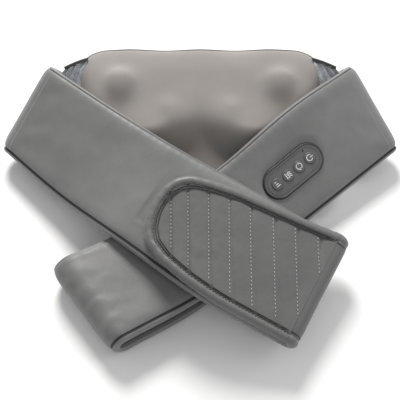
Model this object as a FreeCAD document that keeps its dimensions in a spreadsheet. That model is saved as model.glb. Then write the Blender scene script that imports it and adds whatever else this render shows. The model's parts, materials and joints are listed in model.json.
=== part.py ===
"""Shiatsu neck massager: a padded body with two kneading plates, and two soft arms that cross in front.

Frame: +Z up, +X to the right, -Y towards the wearer's chest. The origin is the centre of the flat back
face that the massager lies on. Lengths are millimetres and angles are degrees.
"""
import FreeCAD, Part
import math
import os
import Sketcher
from FreeCAD import Placement, Rotation, Vector

DRIVING = {
    # body
    "body_length": 292.0, "body_depth": 152.0, "body_corner": 34.0, "face_tilt": 10.0,
    "mech_lift": 10.0, "rim_height": 30.0, "cover_height": 66.0, "cover_front_height": 38.0,
    "cover_thick": 2.5, "cover_round": 22.0, "shell_thick": 3.0,
    # kneading mechanism, in the tilted frame
    "plate_spacing": 131.0, "plate_offset": 21.0, "head_circle": 33.5, "head_radius": 15.0,
    "tall_head": 29.0, "short_head": 21.0, "plate_level": 29.0, "plate_thick": 4.0,
    "housing_length": 252.0, "housing_depth": 104.0, "housing_centre": 14.0, "housing_corner": 16.0,
    "housing_split": 13.0, "housing_height": 27.0, "housing_wall": 2.5, "gear_level": 13.0,
    "gear_module": 1.5, "wheel_teeth": 20.0, "wheel_width": 6.0, "worm_pitch_radius": 6.0,
    "worm_length": 24.0, "shaft_radius": 2.0, "post_radius": 5.0, "motor_radius": 10.0,
    "motor_length": 38.0, "run_gap": 0.08, "bush_wall": 2.0, "screw_radius": 1.6,
    # battery
    "cell_radius": 9.2, "cell_length": 65.0, "cell_row": -57.0,
    # arms
    "arm_thick": 16.0, "skin_thick": 1.2, "fold_gap": 0.9, "flap_thick": 11.0, "loop_thick": 12.0,
    # control panel
    "panel_length": 78.0, "panel_width": 34.0, "panel_thick": 2.4, "panel_place": 47.0,
    "button_pitch": 16.4, "button_radius": 7.0, "button_height": 3.4, "button_travel": 0.8,
    "button_gap": 0.3, "tray_depth": 9.0, "tray_wall": 1.2, "board_thick": 1.2,
    # charging socket
    "socket_width": 9.0, "socket_height": 3.3, "socket_depth": 7.5,
}

doc = FreeCAD.newDocument("neck_massager")
sheet = doc.addObject("Spreadsheet::Sheet", "sizes")
for row, (alias, size) in enumerate(DRIVING.items(), start=1):
    sheet.set("A%d" % row, alias)
    sheet.set("B%d" % row, str(size))
    sheet.setAlias("B%d" % row, alias)
doc.recompute()
SIZE = {alias: float(sheet.get(alias)) for alias in DRIVING}
made = []

TILT = Rotation(Vector(1, 0, 0), SIZE["face_tilt"])
MECH = Placement(Vector(0, 0, SIZE["mech_lift"]), TILT)
LEVEL = Placement()


# ---------------------------------------------------------------- small builders
def box(name, length, width, height, x=0.0, y=0.0, z=0.0):
    """A box whose sides are expressions or numbers, centred on x and y, standing on z."""
    item = doc.addObject("Part::Box", name)
    for side, size in (("Length", length), ("Width", width), ("Height", height)):
        item.setExpression(side, str(size))
    doc.recompute()
    item.Placement.Base = Vector(x - item.Length.Value / 2, y - item.Width.Value / 2, z)
    return item


def rod(name, radius, height, x=0.0, y=0.0, z=0.0, along="Z"):
    """A cylinder whose sizes are expressions or numbers; along X or Y it is centred, along Z it stands."""
    item = doc.addObject("Part::Cylinder", name)
    item.setExpression("Radius", str(radius))
    item.setExpression("Height", str(height))
    doc.recompute()
    half = item.Height.Value / 2
    if along == "X":
        item.Placement = Placement(Vector(x - half, y, z), Rotation(Vector(0, 1, 0), 90))
    elif along == "Y":
        item.Placement = Placement(Vector(x, y - half, z), Rotation(Vector(1, 0, 0), -90))
    else:
        item.Placement.Base = Vector(x, y, z)
    return item


def rounded_box(name, length, width, height, corner, x=0.0, y=0.0, z=0.0):
    """A box whose four upright edges are rounded."""
    base = box(name + "_box", length, width, height, x, y, z)
    doc.recompute()
    item = doc.addObject("Part::Fillet", name)
    item.Base = base
    radius = SIZE[corner] if isinstance(corner, str) else corner
    upright = [i + 1 for i, edge in enumerate(base.Shape.Edges)
               if abs(edge.tangentAt(edge.FirstParameter).z) > 0.99]
    item.Edges = [(i, radius, radius) for i in upright]
    doc.recompute()
    return item


def fuse(name, *items):
    item = doc.addObject("Part::MultiFuse", name)
    item.Shapes = list(items)
    doc.recompute()
    return item


def cut(name, base, *tools):
    item = doc.addObject("Part::Cut", name)
    item.Base = base
    item.Tool = tools[0] if len(tools) == 1 else fuse(name + "_tools", *tools)
    doc.recompute()
    return item


def free_shape(name, shape):
    item = doc.addObject("Part::Feature", name)
    item.Shape = shape
    return item


def keep(item, label, placement=LEVEL):
    """Names a finished sub-part and puts it in its place."""
    item.Label = label
    item.Placement = placement.multiply(item.Placement)
    made.append(item)
    return item


# ---------------------------------------------------------------- body casings
def outline_prism(name, inset, bottom, top):
    """The body's rounded outline, taken in by inset, from bottom to top."""
    corner = SIZE["body_corner"] - inset
    return rounded_box(name, "sizes.body_length - %g" % (2 * inset), "sizes.body_depth - %g" % (2 * inset),
                       top - bottom, corner, z=bottom)


def rim_block(name, level, above):
    """A block above or below the tilted plane at that level of the mechanism's frame."""
    reach = 500.0
    item = doc.addObject("Part::Box", name)
    item.Length, item.Width, item.Height = reach, reach, reach
    drop = 0.0 if above else -reach
    place = Placement(Vector(-reach / 2, -reach / 2, level + drop), Rotation())
    item.Placement = MECH.multiply(place)
    doc.recompute()
    return item


def body_casings():
    thick = SIZE["shell_thick"]
    tall = 140.0
    outer = outline_prism("rear_outer", 0.0, 0.0, tall)
    inner = outline_prism("rear_inner", thick, thick, tall)
    relief = free_shape("arm_relief", arm_reliefs(SIZE["fold_gap"]))
    shell = cut("rear_shell", outer, inner, rim_block("above_rim", SIZE["rim_height"], True), relief)
    far_wall = SIZE["body_depth"] / 2
    socket_hole = box("socket_hole", "sizes.socket_width + 0.6", 4 * thick, "sizes.socket_height + 0.6",
                      x=0.0, y=far_wall, z=socket_level() - 0.3)
    keep(cut("rear_cover", shell, socket_hole), "rear_cover")

    dome = cover_dome("cover_outer", 0.0).cut(arm_reliefs(SIZE["fold_gap"]))
    hollow = cover_dome("cover_inner", SIZE["cover_thick"])
    skin = dome.cut(hollow.cut(arm_reliefs(SIZE["fold_gap"] + SIZE["cover_thick"])))
    above = rim_block("cover_floor", SIZE["rim_height"], True)
    keep(free_shape("front_cover", skin.common(above.Shape)), "front_cover")

    # foam ring between the mechanism housing and the casings
    level = SIZE["rim_height"]
    ring = outline_prism("foam_outer", thick + 0.3, thick + 0.3, tall)
    room = rounded_box("foam_room", "sizes.housing_length + 1.2", "sizes.housing_depth + 1.2", tall,
                       SIZE["housing_corner"] + 0.6, y=SIZE["housing_centre"], z=0.0)
    battery_room = box("battery_room", battery_length() + 1.2, battery_depth() + 1.2, tall,
                       y=SIZE["cell_row"], z=0.0)
    wire_room = box("socket_room", "sizes.socket_width + 6", 14.0, tall, y=far_wall - thick - 6.0, z=0.0)
    room.Placement = MECH.multiply(Placement(Vector(0, 0, -20.0), Rotation()))
    foam = cut("body_foam", ring, room, battery_room, wire_room, rim_block("foam_top", level - 1.0, True))
    keep(foam, "body_foam")


def arm_reliefs(gap):
    """The room the two arms press into the front cover, reaching gap below their undersides."""
    depth = SIZE["arm_thick"] / 2 + gap
    rooms = []
    for edges in (LEFT_EDGES, RIGHT_EDGES):
        wires = []
        for (upper, lower), (_, _, across, normal) in list(zip(Band(edges).edges, Band(edges).frames))[:4]:
            head = upper + across * gap - normal * depth
            foot = lower - across * gap - normal * depth
            rise = Vector(0, 0, 120)
            corners = [head, foot, foot + rise, head + rise]
            wires.append(Part.makePolygon(corners + corners[:1]))
        rooms.append(Part.makeLoft(wires, True, True))
    return rooms[0].fuse(rooms[1])


def cover_dome(name, inset):
    """The front cover's closed form, taken in by inset: high at the far side and sloping down in front."""
    half = SIZE["body_depth"] / 2 - inset
    top = SIZE["cover_height"] - inset
    front = SIZE["cover_front_height"] - inset
    slope_head = SIZE["head_circle"] + SIZE["head_radius"] - SIZE["plate_offset"] + 5.0 - inset
    prism = outline_prism(name + "_prism", inset, 0.0, 160.0)
    roof = rim_block(name + "_roof", top, True)
    dome = prism.Shape.cut(roof.Shape)
    inverse = MECH.inverse()
    crown = [edge for edge in dome.Edges if min(inverse.multVec(v.Point).z for v in edge.Vertexes) > top - 1]
    dome = dome.makeFillet(SIZE["cover_round"] - inset, crown)
    reach = SIZE["body_length"]
    points = [(-slope_head, top), (-half - 20, front - 12), (-half - 20, top + 20), (-slope_head, top + 20)]
    wire = Part.makePolygon([Vector(-reach, y, z) for y, z in points + points[:1]])
    slope = Part.Face(wire).extrude(Vector(2 * reach, 0, 0))
    slope.Placement = MECH
    return dome.cut(slope)


# ---------------------------------------------------------------- mechanism housing
def screw_places():
    half_x = SIZE["housing_length"] / 2 - 9
    half_y = SIZE["housing_depth"] / 2 - 9
    middle = SIZE["housing_centre"]
    return [(x, middle + y) for x in (-half_x, 0.0, half_x) for y in (-half_y, half_y)]


def housing():
    wall, split, middle = SIZE["housing_wall"], SIZE["housing_split"], SIZE["housing_centre"]
    height, corner = SIZE["housing_height"], SIZE["housing_corner"]
    shaft_x = SIZE["plate_spacing"] / 2
    offset = SIZE["plate_offset"]

    block = rounded_box("base_block", "sizes.housing_length", "sizes.housing_depth", "sizes.housing_split",
                        corner, y=middle)
    hollow = rounded_box("base_hollow", "sizes.housing_length - 2*sizes.housing_wall",
                         "sizes.housing_depth - 2*sizes.housing_wall", "sizes.housing_split",
                         corner - wall, y=middle, z=wall)
    base = [cut("base_tray", block, hollow)]
    for i, (x, y) in enumerate(screw_places()):
        base.append(rod("base_boss%d" % i, "sizes.screw_radius + 2.4", "sizes.housing_split - 0.5", x, y, 0.5))
    for i, x in enumerate((-shaft_x, shaft_x)):
        base.append(rod("base_seat%d" % i, "sizes.post_radius + 3", "sizes.gear_level - sizes.wheel_width/2 - 3",
                        x, offset, 0.5))
    pilots = [rod("base_pilot%d" % i, "sizes.screw_radius", "sizes.housing_split", x, y, wall + 1)
              for i, (x, y) in enumerate(screw_places())]
    pilots += [rod("base_bore%d" % i, "sizes.post_radius + sizes.run_gap", 10.0, x, offset, wall)
               for i, x in enumerate((-shaft_x, shaft_x))]
    keep(cut("mech_base", fuse("base_solid", *base), *pilots), "mechanism_base", MECH)

    lid = rounded_box("lid_block", "sizes.housing_length", "sizes.housing_depth",
                      "sizes.housing_height - sizes.housing_split", corner, y=middle, z=split)
    lid_hollow = rounded_box("lid_hollow", "sizes.housing_length - 2*sizes.housing_wall",
                             "sizes.housing_depth - 2*sizes.housing_wall",
                             "sizes.housing_height - sizes.housing_split - sizes.housing_wall",
                             corner - wall, y=middle, z=split)
    pieces = [cut("lid_shell", lid, lid_hollow)]
    drills = []
    for i, (x, y) in enumerate(screw_places()):
        pieces.append(rod("lid_boss%d" % i, "sizes.screw_radius + 2.4",
                          "sizes.housing_height - sizes.housing_split - 0.5", x, y, split + 0.05))
        drills.append(rod("lid_drill%d" % i, "sizes.screw_radius + sizes.run_gap", 60.0, x, y, 0.0))
        drills.append(rod("lid_sink%d" % i, "sizes.screw_radius * 2 + 0.2", 10.0, x, y, height - 2.6))
    for i, x in enumerate((-shaft_x, shaft_x)):
        drills.append(rod("lid_port%d" % i, "sizes.post_radius + sizes.bush_wall", 40.0, x, offset, split))
    keep(cut("mech_lid", fuse("lid_solid", *pieces), *drills), "mechanism_cover", MECH)

    screws = []
    for i, (x, y) in enumerate(screw_places()):
        shank = rod("screw_shank%d" % i, "sizes.screw_radius", height - 2.6 - wall - 1.5, x, y, wall + 1.5)
        head = rod("screw_head%d" % i, "sizes.screw_radius * 2", 1.8, x, y, height - 2.6)
        cross = [box("screw_slot%d_%d" % (i, k), a, b, 1.0, x, y, height - 1.6)
                 for k, (a, b) in enumerate(((3.6, 0.8), (0.8, 3.6)))]
        screws.append(cut("screw%d" % i, fuse("screw_body%d" % i, shank, head), *cross))
    group = doc.addObject("Part::Compound", "screws")
    group.Links = screws
    doc.recompute()
    keep(group, "housing_screws", MECH)


# ---------------------------------------------------------------- gears
def wheel_radius():
    return SIZE["gear_module"] * SIZE["wheel_teeth"] / 2


def worm_axis():
    """(y, z) of the worm's axis in the mechanism's frame."""
    return SIZE["plate_offset"] - wheel_radius() - SIZE["worm_pitch_radius"], SIZE["gear_level"]


def worm_wheel_disc():
    """A worm wheel with straight-sided teeth about +Z, with a tooth gap facing -Y."""
    module, teeth = SIZE["gear_module"], int(SIZE["wheel_teeth"])
    pitch = wheel_radius()
    tip, root = pitch + 0.8 * module, pitch - 1.4 * module
    tooth_at_tip, tooth_at_root = 0.74 * module, 1.9 * module
    width = SIZE["wheel_width"]
    step = 2 * math.pi / teeth
    shape = Part.makeCylinder(root, width)
    for i in range(teeth):
        angle = -math.pi / 2 + (i + 0.5) * step
        along, across = Vector(math.cos(angle), math.sin(angle), 0), Vector(-math.sin(angle), math.cos(angle), 0)
        inner = root - 0.6
        corners = [along * inner - across * tooth_at_root / 2, along * tip - across * tooth_at_tip / 2,
                   along * tip + across * tooth_at_tip / 2, along * inner + across * tooth_at_root / 2]
        face = Part.Face(Part.makePolygon(corners + corners[:1]))
        shape = shape.fuse(face.extrude(Vector(0, 0, width)))
    return shape.removeSplitter()


def worm(side):
    """A one-start worm along +X centred on its wheel, with a thread crest facing +Y. side is -1 or 1."""
    module = SIZE["gear_module"]
    lead, length = math.pi * module, SIZE["worm_length"]
    pitch = SIZE["worm_pitch_radius"]
    tip, core = pitch + 0.8 * module, pitch - 1.05 * module
    turns = 2 * int(length / lead / 2)
    run = turns * lead
    helix = Part.makeHelix(lead, run, pitch)
    half_root, half_tip = 0.66 * module, 0.32 * module
    sink = 0.5
    corners = [Vector(core - sink, 0, -half_root), Vector(tip, 0, -half_tip), Vector(tip, 0, half_tip),
               Vector(core - sink, 0, half_root)]
    profile = Part.makePolygon(corners + corners[:1])
    thread = Part.Wire(helix.Edges).makePipeShell([profile], True, True)
    body = Part.makeCylinder(core, length, Vector(0, 0, (run - length) / 2))
    shape = body.fuse(thread)
    # the crest at the start angle is at z = 0, so the middle crest is a whole number of leads up
    crest = lead * (turns // 2)
    shape.translate(Vector(0, 0, -crest))
    shape.rotate(Vector(), Vector(0, 0, 1), 90)      # crest now faces +Y
    shape.rotate(Vector(), Vector(0, 1, 0), 90)      # axis from +Z to +X, and +Y stays
    if side < 0:
        shape = shape.mirror(Vector(), Vector(1, 0, 0))
    return shape


def gears():
    shaft_x, offset = SIZE["plate_spacing"] / 2, SIZE["plate_offset"]
    level, width = SIZE["gear_level"], SIZE["wheel_width"]
    y_worm, z_worm = worm_axis()
    reach = shaft_x + SIZE["worm_length"] / 2 + 9

    # motor shaft with its two worms
    shaft = Part.makeCylinder(SIZE["shaft_radius"], 2 * reach, Vector(-reach, 0, 0), Vector(1, 0, 0))
    for side in (-1, 1):
        piece = worm(side)
        piece.translate(Vector(side * shaft_x, 0, 0))
        shaft = shaft.fuse(piece)
    shaft.translate(Vector(0, y_worm, z_worm))
    keep(free_shape("worm_shaft", shaft), "worm_shaft", MECH)

    # motor can round the shaft's middle
    can = rod("motor_can", "sizes.motor_radius", "sizes.motor_length", 0.0, y_worm, z_worm, "X")
    flats = [box("motor_flat%d" % i, "sizes.motor_length + 2", "sizes.motor_radius", 2.0, 0.0, y_worm, z)
             for i, z in enumerate((z_worm - SIZE["motor_radius"] - 1.2, z_worm + SIZE["motor_radius"] - 0.8))]
    bore = rod("motor_bore", "sizes.shaft_radius + sizes.run_gap", "sizes.motor_length + 2", 0.0, y_worm, z_worm, "X")
    keep(cut("motor", can, bore, *flats), "motor", MECH)

    # bearing blocks at both ends of the shaft
    blocks = []
    for i, side in enumerate((-1, 1)):
        x = side * (reach - 3)
        foot = z_worm - SIZE["housing_wall"] - 0.05
        block = box("bearing_block%d" % i, 6.0, 10.0, foot + 5.0, x, y_worm, SIZE["housing_wall"] + 0.05)
        hole = rod("bearing_hole%d" % i, "sizes.shaft_radius + sizes.run_gap", 8.0, x, y_worm, z_worm, "X")
        blocks.append(cut("bearing%d" % i, block, hole))
    group = doc.addObject("Part::Compound", "bearings")
    group.Links = blocks
    doc.recompute()
    keep(group, "worm_bearings", MECH)

    # worm wheels on their output posts, and the bushes in the housing cover
    bushes = []
    for name, side in (("left", -1), ("right", 1)):
        disc = worm_wheel_disc()
        disc.translate(Vector(0, 0, level - width / 2))
        low = SIZE["housing_wall"] + 0.3
        post = Part.makeCylinder(SIZE["post_radius"] - SIZE["run_gap"], SIZE["plate_level"] + 2.2 - low,
                                 Vector(0, 0, low))
        collar = Part.makeCylinder(SIZE["post_radius"] + 1.5, 1.6, Vector(0, 0, level + width / 2))
        wheel = disc.fuse(post).fuse(collar)
        wheel.translate(Vector(side * shaft_x, offset, 0))
        keep(free_shape(name + "_wheel", wheel), name + "_worm_wheel", MECH)
        ring = rod(name + "_bush_ring", "sizes.post_radius + sizes.bush_wall - 0.02",
                   "sizes.housing_wall + 4", side * shaft_x, offset, SIZE["housing_height"] - SIZE["housing_wall"] - 4)
        hole = rod(name + "_bush_hole", "sizes.post_radius", 30.0, side * shaft_x, offset, 10.0)
        bushes.append(cut(name + "_bush", ring, hole))
    group = doc.addObject("Part::Compound", "bushes")
    group.Links = bushes
    doc.recompute()
    keep(group, "output_bushes", MECH)


# ---------------------------------------------------------------- kneading plates and heads
def massage_head(label, height, x, y):
    """A domed head made as a PartDesign revolution, with a blind hole that its plate's pin fills."""
    body = doc.addObject("PartDesign::Body", label + "_body")
    sketch = body.newObject("Sketcher::SketchObject", label + "_profile")
    plane = [f for f in body.Origin.OriginFeatures if f.Role == "XZ_Plane"][0]
    sketch.AttachmentSupport = [(plane, "")]
    sketch.MapMode = "FlatFace"
    radius, wall = SIZE["head_radius"], 3.0
    foot = radius - 1.5
    shoulder = height - radius * 0.62
    rise = height - shoulder
    ball = (rise ** 2 + foot ** 2) / (2 * rise)
    half_turn = math.asin(foot / ball) / 2
    half_way = Vector(ball * math.sin(half_turn), height - ball + ball * math.cos(half_turn), 0)
    dome = Part.Arc(Vector(foot, shoulder, 0), half_way, Vector(0, height, 0))
    inner = height - wall
    pin = 2.5
    lines = [((0, height), (0, inner)), ((0, inner), (pin, inner)), ((pin, inner), (pin, 0)),
             ((pin, 0), (radius, 0)), ((radius, 0), (foot, shoulder))]
    sketch.addGeometry([dome] + [Part.LineSegment(Vector(a, b, 0), Vector(c, d, 0))
                                 for (a, b), (c, d) in lines], False)
    sketch.addConstraint([Sketcher.Constraint("Coincident", 0, 2, 1, 1)] +
                         [Sketcher.Constraint("Coincident", i, 2, i + 1, 1) for i in range(1, 5)] +
                         [Sketcher.Constraint("Coincident", 5, 2, 0, 1)])
    turned = body.newObject("PartDesign::Revolution", label + "_turned")
    turned.Profile = sketch
    turned.ReferenceAxis = (sketch, ["V_Axis"])
    turned.Angle = 360
    body.Tip = turned
    doc.recompute()
    base = SIZE["plate_level"] + SIZE["plate_thick"]
    keep(body, label, MECH.multiply(Placement(Vector(x, y, base), Rotation())))


def kneading_plates():
    offset, circle = SIZE["plate_offset"], SIZE["head_circle"]
    level, thick = SIZE["plate_level"], SIZE["plate_thick"]
    lean = 29.0    # the line through a plate's two heads, measured from the X axis
    for name, side in (("left", -1), ("right", 1)):
        centre = Vector(side * SIZE["plate_spacing"] / 2, offset, 0)
        arm = Vector(side * math.cos(math.radians(lean)), math.sin(math.radians(lean)), 0)
        ends = [centre + arm * circle, centre - arm * circle]
        turn = lean if side > 0 else -lean
        bar = box(name + "_bar", "2 * sizes.head_circle", "2 * sizes.head_radius - 6", "sizes.plate_thick",
                  0.0, 0.0, 0.0)
        bar_place = Placement(centre + Vector(0, 0, level), Rotation(Vector(0, 0, 1), turn))
        bar.Placement = bar_place.multiply(bar.Placement)
        pads = [rod(name + "_pad%d" % i, "sizes.head_radius", "sizes.plate_thick", p.x, p.y, level)
                for i, p in enumerate(ends)]
        hub = rod(name + "_hub", "sizes.post_radius + 9", "sizes.plate_thick + 2.5", centre.x, centre.y, level)
        pins = [rod(name + "_pin%d" % i, 2.5 - 0.1, tall - 3.0 - 0.4, p.x, p.y, level + thick)
                for i, (p, tall) in enumerate(zip(ends, (SIZE["tall_head"], SIZE["short_head"])))]
        socket = rod(name + "_socket", "sizes.post_radius - sizes.run_gap", 2.2, centre.x, centre.y, level)
        plate = cut(name + "_plate", fuse(name + "_plate_solid", bar, hub, *pads, *pins), socket)
        keep(plate, name + "_massage_plate", MECH)
        massage_head(name + "_tall_head", SIZE["tall_head"], ends[0].x, ends[0].y)
        massage_head(name + "_short_head", SIZE["short_head"], ends[1].x, ends[1].y)


# ---------------------------------------------------------------- electrics in the body
def battery_length():
    return SIZE["cell_length"] + 6.0


def battery_depth():
    return 2 * SIZE["cell_radius"] + 4.4


def socket_level():
    return 22.0


def electrics():
    radius, length, row = SIZE["cell_radius"], SIZE["cell_length"], SIZE["cell_row"]
    floor = SIZE["shell_thick"]
    case = box("battery_block", battery_length(), battery_depth(), 2 * radius + 2.2, 0.0, row, floor)
    bay = box("battery_bay", length + 1.0, 2 * radius + 0.8, 2 * radius + 2.2, 0.0, row, floor + 1.2)
    keep(cut("battery_case", case, bay), "battery_case")
    cell = rod("cell_can", "sizes.cell_radius", "sizes.cell_length - 1.5", -0.75, row, floor + 1.4 + radius, "X")
    nub = rod("cell_nub", 3.0, 1.5, length / 2 - 0.75, row, floor + 1.4 + radius, "X")
    keep(fuse("battery_cell", cell, nub), "battery_cell")

    middle = SIZE["plate_offset"] + 14.0
    wall = SIZE["housing_wall"]
    board = box("board_plate", 46.0, 30.0, 1.6, 0.0, middle, wall + 3.0)
    feet = [rod("board_foot%d" % i, 2.0, 3.0 - 0.05, x, middle + y, wall + 0.05)
            for i, (x, y) in enumerate(((-19, -11), (-19, 11), (19, -11), (19, 11)))]
    chip = box("board_chip", 8.0, 8.0, 1.4, -6.0, middle, wall + 4.6)
    capacitor = rod("board_capacitor", 3.2, 9.0, 12.0, middle + 6.0, wall + 4.6)
    coil = box("board_coil", 7.0, 7.0, 4.0, 12.0, middle - 7.0, wall + 4.6)
    keep(fuse("drive_board", board, chip, capacitor, coil, *feet), "drive_board", MECH)

    width, height, depth = SIZE["socket_width"], SIZE["socket_height"], SIZE["socket_depth"]
    face = SIZE["body_depth"] / 2 - 0.4
    level = socket_level()
    shell = rounded_box("socket_shell", "sizes.socket_width", "sizes.socket_depth", "sizes.socket_height",
                        0.4, y=face - depth / 2, z=level)
    mouth = box("socket_mouth", "sizes.socket_width - 0.8", "sizes.socket_depth - 1", "sizes.socket_height - 0.8",
                0.0, face - depth / 2 + 0.9, level + 0.4)
    tongue = box("socket_tongue", width - 2.4, depth - 2.0, 0.7, 0.0, face - depth / 2 - 0.6, level + height / 2 - 0.35)
    keep(fuse("socket", cut("socket_can", shell, mouth), tongue), "charging_socket")

    # heating film under the front cover, between the two plates
    film = rounded_box("heating_film", 226.0, 12.0, 0.8, 2.0, y=SIZE["plate_offset"] - 47.0,
                       z=SIZE["housing_height"] + 0.05)
    keep(film, "heating_film", MECH)


# ---------------------------------------------------------------- soft arms
class Band:
    """A padded band through (upper edge, lower edge) points of its middle surface."""

    def __init__(self, edges, end_normal=None):
        self.edges = [(Vector(*u), Vector(*v)) for u, v in edges]
        self.frames = []
        middles = [(u + v) * 0.5 for u, v in self.edges]
        for i, (u, v) in enumerate(self.edges):
            ahead = middles[min(i + 1, len(middles) - 1)] - middles[max(i - 1, 0)]
            ahead.normalize()
            across = u - v
            across.normalize()
            normal = ahead.cross(across)
            normal.normalize()
            if normal.z < 0:
                normal = normal * -1
            if end_normal and i == len(self.edges) - 1:
                normal = end_normal
            self.frames.append((middles[i], ahead, across, normal))

    def raised(self, height):
        """The same band moved along its own normals."""
        return Band([(tuple(u + f[3] * height), tuple(v + f[3] * height))
                     for (u, v), f in zip(self.edges, self.frames)])

    def narrowed(self, shares):
        """The same band with each section's edges moved in by shares of its width, as (upper, lower) pairs."""
        moved = []
        for (u, v), (top, bottom) in zip(self.edges, shares):
            moved.append((tuple(u + (v - u) * top), tuple(v + (u - v) * bottom)))
        return Band(moved)

    def solid(self, thick, inset=0.0):
        """The band's closed solid, crowned: thinner at its two edges than across its middle."""
        edge_half, flat_half = 0.30 * thick, 0.5 * thick - inset
        edge_half = max(edge_half - inset, 0.4)
        wires = []
        last = len(self.edges) - 1
        for i, ((u, v), (middle, ahead, across, normal)) in enumerate(zip(self.edges, self.frames)):
            width = (u - v).Length
            shoulder = 0.13
            shift = ahead * (inset if i == 0 else (-inset if i == last else 0.0))
            top, bottom = u - across * inset + shift, v + across * inset + shift
            run = bottom - top
            ring = [top + normal * edge_half, top + run * shoulder + normal * flat_half,
                    bottom - run * shoulder + normal * flat_half, bottom + normal * edge_half,
                    bottom - normal * edge_half, bottom - run * shoulder - normal * flat_half,
                    top + run * shoulder - normal * flat_half, top - normal * edge_half]
            wires.append(Part.makePolygon(ring + ring[:1]))
        return Part.makeLoft(wires, True, True)


def fold_solid(upper, lower, normal, back, inner, outer):
    """Half a tube round the line from upper to lower, bulging towards back: the bend of a folded band."""
    axis = lower - upper
    along = Vector(axis)
    along.normalize()
    side = Vector(normal)
    side = side - along * side.dot(along)
    side.normalize()
    away = along.cross(side)
    if away.dot(back) < 0:
        away = away * -1
    def arc(radius):
        return Part.Arc(upper + side * radius, upper + away * radius, upper - side * radius).toShape()
    edges = [arc(outer), Part.LineSegment(upper - side * outer, upper - side * inner).toShape(),
             arc(inner), Part.LineSegment(upper + side * inner, upper + side * outer).toShape()]
    face = Part.Face(Part.Wire(Part.__sortEdges__(edges)))
    return face.extrude(axis)


# the left arm's middle surface from its shoulder fold to its end fold; the right arm lies under it
def out(side, share, beyond):
    """X of an arm's point: that share of the way to the body's end, and some mm beyond it."""
    return side * (share * SIZE["body_length"] / 2 + beyond)


LEFT_EDGES = [((out(-1, 1, 23), 40, 88), (out(-1, 1, 83), -37, 25)),
              ((out(-1, 0.55, 12.7), -21, 90), (out(-1, 0.55, 79.7), -104, 32)),
              ((out(-1, 0.15, 1.1), -69, 84), (out(-1, 0.15, 68.1), -168, 51)),
              ((60, -112, 64), (0, -236, 49)), ((152, -156, 37), (86, -276, 22))]
RIGHT_EDGES = [((out(1, 1, 23), 40, 88), (out(1, 1, 83), -37, 25)),
               ((out(1, 0.55, 29.7), -7, 89), (out(1, 0.55, 91.7), -84, 21)),
               ((out(1, 0.15, -5.9), -83, 61), (out(1, 0.15, 82.1), -140, 15)),
               ((-95, -154, 37), (0, -229, 30)), ((-145, -180, 39), (-76, -275, 33))]
SHOULDER_ROOT = ((out(-1, 1, 1.5), 42, 54), (out(-1, 1, 1.5), -58, 15))


def mirrored(point):
    return (-point[0], point[1], point[2])


def padded_arm(edges):
    """The arm's leather cover as a shell, and the foam in it."""
    band = Band(edges)
    thick, skin = SIZE["arm_thick"], SIZE["skin_thick"]
    whole = band.solid(thick)
    foam = band.solid(thick, skin)
    hollow = band.solid(thick, skin - 0.05)
    return band, whole, foam, hollow


def shoulder(side, arm):
    """The band's short run from the body's end to the fold, under the arm, and the fold itself."""
    (upper, lower), (_, ahead, _, normal) = arm.edges[0], arm.frames[0]
    drop = SIZE["arm_thick"] + 2 * SIZE["fold_gap"]
    end = (tuple(upper - normal * drop), tuple(lower - normal * drop))
    root = SHOULDER_ROOT if side == "left" else tuple(mirrored(p) for p in SHOULDER_ROOT)
    pad = Band([root, end], normal).solid(SIZE["arm_thick"])
    keep(free_shape(side + "_shoulder", pad), side + "_shoulder_pad")
    axis_upper = upper - normal * (drop / 2)
    axis_lower = lower - normal * (drop / 2)
    fold = fold_solid(axis_upper, axis_lower, normal, ahead * -1, SIZE["fold_gap"] + 1.2,
                      SIZE["fold_gap"] + SIZE["arm_thick"])
    keep(free_shape(side + "_fold", fold), side + "_shoulder_fold")


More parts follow.
